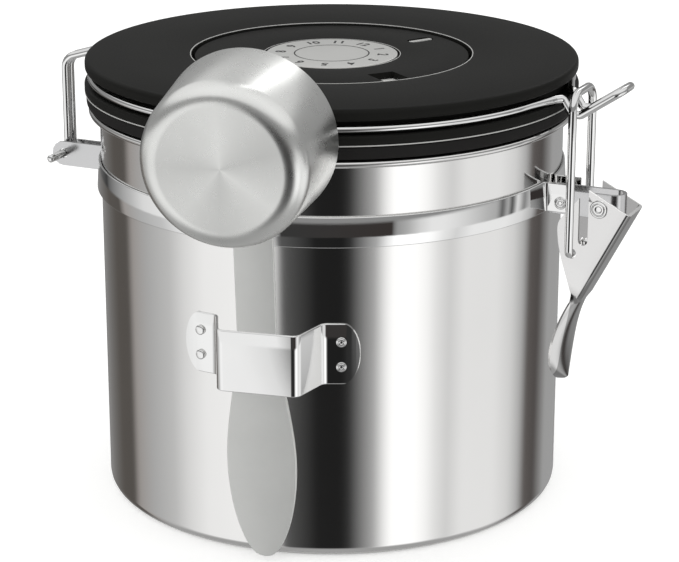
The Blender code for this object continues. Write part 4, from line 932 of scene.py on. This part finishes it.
def makeDayNumbers():
    numbers = numberRing(day["numbers"], day["top"])
    settle("day_numbers", numbers, "print_black", "lid")


makeDial()
makeMonthPlate()
makeDayNumbers()
print("dial made")


# The latch: a lever bent from sheet, and the wire bail hooked in it

lever = {
    "top": (86.5, 86.0), "neck": (73.2, 60.5), "half": 5.8, "sheet": 0.8, "bend": 0.9, "depth": 17.0,
    "taper": 0.4, "taperFrom": 0.7, "wallRows": 38, "wallSteps": 6, "backSteps": 3,
    "along": (0, 0.13, 0.27, 0.42, 0.56, 0.7, 0.84, 0.95),
    "reach": (0.74, 0.79, 0.84, 0.88, 0.76, 0.57, 0.34, 0.16),
    "thumbHalf": 8.6, "thumbLength": 22.5, "thumbSweep": 4.0, "thumbBow": 1.0, "thumbRim": 2.0,
    "thumbRows": 40, "thumbSteps": 14, "thumbMiddle": 0.16,
    "thumbAlong": (0, 0.12, 0.28, 0.45, 0.6, 0.74, 0.87, 0.96, 1),
    "thumbWidth": (0.6, 0.72, 0.88, 0.98, 1, 0.92, 0.7, 0.4, 0.16),
    "rivetX": 78.6, "rivetZ": 87.0, "rivetHole": 1.6, "bailX": 71.3, "bailZ": 74.2, "bailHole": 1.4,
    "notchX": 74.4, "notchWidth": 2.6, "notchBottom": 78.0, "cutOver": 4,
    "edge": 0.14, "edgeSegments": 2, "edgeSharp": 50, "sharp": 40,
}


def eased(places, values, at):
    # a smooth curve through the values
    last = len(places) - 1
    index = max(i for i in range(last) if places[i] <= at or i == 0)
    span = places[index + 1] - places[index]
    share = min(max((at - places[index]) / span, 0), 1)
    before = max(index - 1, 0)
    after = min(index + 2, last)
    into = (values[index + 1] - values[before]) / (places[index + 1] - places[before]) * span
    out = (values[after] - values[index]) / (places[after] - places[index]) * span
    square, cube = share ** 2, share ** 3
    return (values[index] * (2 * cube - 3 * square + 1) + into * (cube - 2 * square + share)
            + values[index + 1] * (3 * square - 2 * cube) + out * (cube - square))


def wallSection(half, depth):
    bend, steps, backSteps = lever["bend"], lever["wallSteps"], lever["backSteps"]
    points = [(-half, bend + (depth - bend) * (1 - step / steps)) for step in range(steps + 1)]
    for step in range(1, steps + 1):
        angle = math.pi / 2 * step / steps
        points.append((-half + bend - bend * math.cos(angle), bend - bend * math.sin(angle)))
    return points + [((-half + bend) * (1 - step / backSteps), 0) for step in range(1, backSteps)]


def thumbSection(half):
    # as many points as a wall section has
    rim, steps = lever["thumbRim"], lever["thumbSteps"]
    shares = [1 - (1 - lever["thumbMiddle"]) * (step / steps) for step in range(steps + 1)]
    return [(-half * share, rim * share ** 3) for share in shares]


def leverRow(back, lean, section):
    whole = section + [(0, 0)] + [(-y, reach) for y, reach in reversed(section)]
    return [Vector((back.x + lean.x * reach, y, back.y + lean.y * reach)) for y, reach in whole]


def makeLever():
    k = lever
    top, neck = Vector(k["top"]), Vector(k["neck"])
    down = (neck - top).normalized()
    lean = Vector((down.y, -down.x))
    half = k["half"] - k["sheet"] / 2
    rows = []
    for step in range(k["wallRows"] + 1):
        along = k["along"][-1] * step / k["wallRows"]
        reach = eased(k["along"], k["reach"], along)
        taper = k["taper"] * max(along - k["taperFrom"], 0) / (1 - k["taperFrom"])
        rows.append(leverRow(top.lerp(neck, along), lean, wallSection(half - taper, k["depth"] * reach)))
    for step in range(k["thumbRows"] + 1):
        along = step / k["thumbRows"]
        wide = eased(k["thumbAlong"], k["thumbWidth"], along)
        carried = down.x * k["thumbLength"] * along * (1 - along)
        x = neck.x + carried - k["thumbSweep"] * along + k["thumbBow"] * math.sin(along * math.pi)
        back = Vector((x, neck.y - k["thumbLength"] * along))
        rows.append(leverRow(back, Vector((-1, 0)), thumbSection(k["thumbHalf"] * wide)))
    shape = bmesh.new()
    chains = []
    for row in rows:
        verts = [shape.verts.new(point) for point in row]
        chains.append([shape.edges.new(pair) for pair in zip(verts, verts[1:])])
    for upper, lower in zip(chains, chains[1:]):
        bmesh.ops.bridge_loops(shape, edges=upper + lower)
    sheet = hold("sheet", meshFrom("sheet", faceOut(shape)))
    thick = sheet.modifiers.new("sheet", "SOLIDIFY")
    thick.thickness = k["sheet"]
    thick.offset = 0
    thick.use_even_offset = True
    shape = evaluated(sheet)
    through = 2 * k["half"] + k["cutOver"]
    for hole in ("rivet", "bail"):
        shape = carved(shape, rod(k[hole + "Hole"], through, alongY(k[hole + "X"], k[hole + "Z"])))
    wide = k["notchWidth"] / 2
    outline = [(k["notchX"] - wide, k["rivetZ"] + k["depth"])]
    for step in range(making["endSteps"] + 1):
        angle = math.radians(180 + 180 * step / making["endSteps"])
        x, z = k["notchX"] + wide * math.cos(angle), k["notchBottom"] + wide * math.sin(angle)
        outline.append((x, z))
    outline.append((k["notchX"] + wide, k["rivetZ"] + k["depth"]))
    notch = plate(outline, through, 0)
    notch.transform(alongY(0, 0))
    shape = carved(shape, notch)
    piece = settle("latch_lever_pressed", shape, "lever_steel", "lever", ("latch_lever",),
                   k["sharp"])
    easeEdges(piece, k["edge"], k["edgeSegments"], k["edgeSharp"])


bail = {
    "x": 71.3, "footZ": 74.2, "topZ": 116.6, "half": 7.75, "footEnd": 4.5,
    "footBend": 1.6, "topBend": 4.5, "bendSteps": 12,
}


def makeBail():
    b = bail
    front = [(b["x"], -b["footEnd"], b["footZ"]), (b["x"], -b["half"], b["footZ"]),
             (b["x"], -b["half"], b["topZ"])]
    rear = [(x, -y, z) for x, y, z in reversed(front)]
    bends = [b["footBend"], b["topBend"], b["topBend"], b["footBend"]]
    path = bentPath(front + rear, bends, b["bendSteps"])
    settle("latch_bail_bent", wire(path, lidWire["radius"]), "wire_steel", "bail", ("latch_bail",),
           sharp=lidWire["sharp"])


makeLever()
makeBail()
print("latch made")


# The scoop

scoop = {
    "rim": 22.0, "bottom": 20.4, "depth": 25.0, "corner": 4.5, "wall": 0.8, "dish": 0.35, "flatGap": 0.6,
    "rimShare": 0.45, "cupSteps": 160, "sideSteps": 48, "sideCrowding": 1.5, "crownSteps": 12,
    "handleThickness": 1.3, "handleEdge": 0.3, "tipZ": 1.2, "neckHalf": 5.1, "bladeHalf": 9.1,
    "bladeShare": 0.29, "neckShare": 0.69, "fullness": 0.44, "rimGap": 0.3,
}


def handleHalf(share):
    s = scoop
    if share < s["bladeShare"]:
        return s["bladeHalf"] * math.sin(math.pi / 2 * share / s["bladeShare"]) ** s["fullness"]
    fall = min((share - s["bladeShare"]) / (s["neckShare"] - s["bladeShare"]), 1)
    return s["bladeHalf"] + (s["neckHalf"] - s["bladeHalf"]) * fall * fall * (3 - 2 * fall)


def makeScoop():
    s = scoop
    rim, low, wall = s["rim"], s["bottom"], s["wall"]
    depth, corner, edge = s["depth"], s["corner"], wall * s["rimShare"]
    section = [(0, depth - s["dish"]), (low - corner - s["flatGap"], depth), (low, depth, corner),
               (rim, 0, edge), (rim - wall, 0, edge), (low - wall, depth - wall, corner - wall),
               (0, depth - wall)]
    place = scoopPlace() @ moveBy(0, stance["plane"], stance["cupCentre"]) @ turnBy(-90, "X")
    settle("scoop_cup_pressed", turned(section, closed=False, steps=s["cupSteps"]), "scoop_steel",
           "scoop", ("scoop_cup",), place=place)
    reach, steps = rim + s["rimGap"], s["crownSteps"]
    top = stance["cupCentre"] - math.sqrt(reach ** 2 - s["neckHalf"] ** 2)
    right = []
    for step in range(s["sideSteps"] + 1):
        share = (step / s["sideSteps"]) ** s["sideCrowding"]
        right.append(Vector((handleHalf(share), s["tipZ"] + (top - s["tipZ"]) * share)))
    lean = math.degrees(math.asin(s["neckHalf"] / reach))
    middle = Vector((0, stance["cupCentre"]))
    crown = [middle + polar(reach, -90 + lean - 2 * lean * step / steps).xy for step in range(1, steps)]
    left = [Vector((-point.x, point.y)) for point in right[:0:-1]]
    shape = plate(right + crown + left, s["handleThickness"], s["handleEdge"])
    shape.transform(scoopPlace() @ alongY(0, 0, stance["plane"] + s["handleThickness"] / 2))
    settle("scoop_handle_blade", shape, "handle_satin", "scoop", ("scoop_handle",))


makeScoop()
print("scoop made")

# the can mirrors the studio, and not these fittings
mirrorless = ["latch_lever_pressed", "latch_bail_bent", "latch_strap_eased", "lever_rivet_turned",
              "band_rivet_front_turned", "band_rivet_rear_turned", "scoop_cup_pressed",
              "scoop_handle_blade", "scoop_holder_strip", "holder_stud_3_turned", "holder_stud_4_turned"]
for name in mirrorless:
    bpy.data.objects[name].visible_glossy = False

keptNodes = {"day_ring": "print_white", "stem_clip": "wire_steel", "valve_disc": "valve_silicone"}
for node, finish in keptNodes.items():
    nodes[node].data.materials.clear()
    nodes[node].data.materials.append(finishes[finish])
print("kept nodes finished:", len(keptNodes))


# Camera

view = {
    "position": (0.2612, -0.5602, 0.2558), "pitch": 17.98, "yaw": 0.196, "turn": 25.0,
    "lens": 124.36, "sensor": 36.0,
}


def makeCamera():
    pitch, yaw, turn = (math.radians(view[key]) for key in ("pitch", "yaw", "turn"))
    aim = Vector((math.sin(yaw) * math.cos(pitch), math.cos(yaw) * math.cos(pitch), -math.sin(pitch)))
    aim.rotate(Matrix.Rotation(turn, 3, "Z"))
    data = bpy.data.cameras.new("front view")
    data.lens = view["lens"]
    data.sensor_width = view["sensor"]
    data.sensor_fit = "HORIZONTAL"
    camera = hold("front view", data)
    camera.location = view["position"]
    camera.rotation_euler = aim.to_track_quat("-Z", "Y").to_euler()
    bpy.context.scene.camera = camera


# Studio: what polished steel sees is told apart from what lights plain surfaces

studio = {
    "facing": -65.0,            # bearing of the camera round Z
    "plainLevel": 1.0, "floorSize": 6.0, "floorTone": (0.86, 0.86, 0.85), "floorLift": 0.36,
    # bearings from the camera's, and the brightness there: low down, nearer the horizon, and overhead
    "low": [(-180, 0.34), (-139, (0.110, 0.100, 0.091)), (-126, (0.104, 0.095, 0.087)),
            (-120, (0.39, 0.365, 0.35)), (-106, 0.49), (-90, 0.63), (-80, 0.86), (-68, 1.05),
            (-50, 1.09), (-33, 1.00), (-29, 0.85), (-25, 0.11), (-18, 0.070), (-8, 0.017), (5, 0.015),
            (9, 0.04), (14, 0.20), (21.5, 0.48), (26.5, 1.00), (31, 1.34), (43, 1.34), (49, 1.20),
            (55, 0.95), (62, 0.78), (71, 0.97), (92, 0.96), (104, 0.80), (113, 0.50),
            (119, (0.126, 0.114, 0.109)), (129, (0.092, 0.083, 0.080)), (143, 0.39), (180, 0.34)],
    "high": [(-180, 0.30), (-141, 0.05), (-137, 0.15), (-126, 0.33), (-112, 0.58), (-102, 0.82),
             (-80, 1.00), (-28, 1.00), (-24, 0.044), (28.5, (0.046, 0.039, 0.037)), (30, 0.34),
             (36, 0.50), (42, 0.78), (48, 0.95), (54, 0.95), (66, 0.78), (79, 0.55), (85, 0.48),
             (89, 0.12), (92.5, 0.48), (96, 0.06), (100, 0.85), (105, 0.25), (110, 0.55), (117, 0.15),
             (122, 0.20), (129, 0.52), (134, 0.55), (140, 0.42), (180, 0.30)],
    "split": (-0.236, -0.214), "under": (-0.78, -0.58), "underTone": 0.42,
    "over": [(-180, 0.55), (-150, 0.80), (-60, 0.90), (60, 0.90), (120, 0.80), (148, 0.60), (152, 2.60),
             (157, 2.60), (161, 0.60), (180, 0.55)],
    "gapFrom": (-0.06, 0.0), "gapTone": 0.29, "overFrom": (0.34, 0.44),
}


def rayIs(tree, kind):
    return addNode(tree, "LightPath", output=f"Is {kind} Ray")


def makeStudio():
    s = studio
    world = bpy.data.worlds.new("studio")
    bpy.context.scene.world = world
    world.use_nodes = True
    tree = world.node_tree
    tree.nodes.clear()
    ahead = addNode(tree, "TexCoord", output="Generated")
    facing = addNode(tree, "VectorRotate", {"rotation_type": "Z_AXIS"},
                     {"Vector": ahead, "Angle": math.radians(-s["facing"])})
    x, y, z = splitAxes(tree, facing)
    bearing = bearingOf(y, x)
    low, high, over = (bearingRamp(tree, bearing, s[key]) for key in ("low", "high", "over"))
    seen = blendTones(tree, easeBetween(tree, z, *s["split"]), low, high)
    seen = blendTones(tree, easeBetween(tree, z, *s["under"]), (s["underTone"],) * 3, seen)
    seen = blendTones(tree, easeBetween(tree, z, *s["gapFrom"]), seen, (s["gapTone"],) * 3)
    seen = blendTones(tree, easeBetween(tree, z, *s["overFrom"]), seen, over)
    seen = blendTones(tree, rayIs(tree, "Glossy"), (s["plainLevel"],) * 3, seen)
    seen = blendTones(tree, rayIs(tree, "Camera"), seen, (1, 1, 1))
    shader = addNode(tree, "Background", None, {"Color": seen, "Strength": 1.0})
    addNode(tree, "OutputWorld", None, {"Surface": shader})


def makeFloor():
    s = studio
    shape = bmesh.new()
    bmesh.ops.create_grid(shape, x_segments=1, y_segments=1, size=s["floorSize"] / 2)
    floor = hold("floor", meshFrom("floor", shape))
    material, tree = startMaterial("floor_pale")
    matt = addNode(tree, "BsdfDiffuse", None, {"Color": (*s["floorTone"], 1)})
    glow = rayIs(tree, "Camera") * s["floorLift"]
    lift = addNode(tree, "Emission", None, {"Strength": glow})
    lit = addNode(tree, "AddShader", None, {0: matt, 1: lift})
    clear = addNode(tree, "BsdfTransparent")
    seen = addNode(tree, "MixShader", None, {0: rayIs(tree, "Glossy"), 1: lit, 2: clear})
    floor.data.materials.append(closeMaterial(material, seen))


makeCamera()
makeStudio()
makeFloor()
bpy.context.scene.view_settings.view_transform = "Standard"
print("camera, light and floor set")
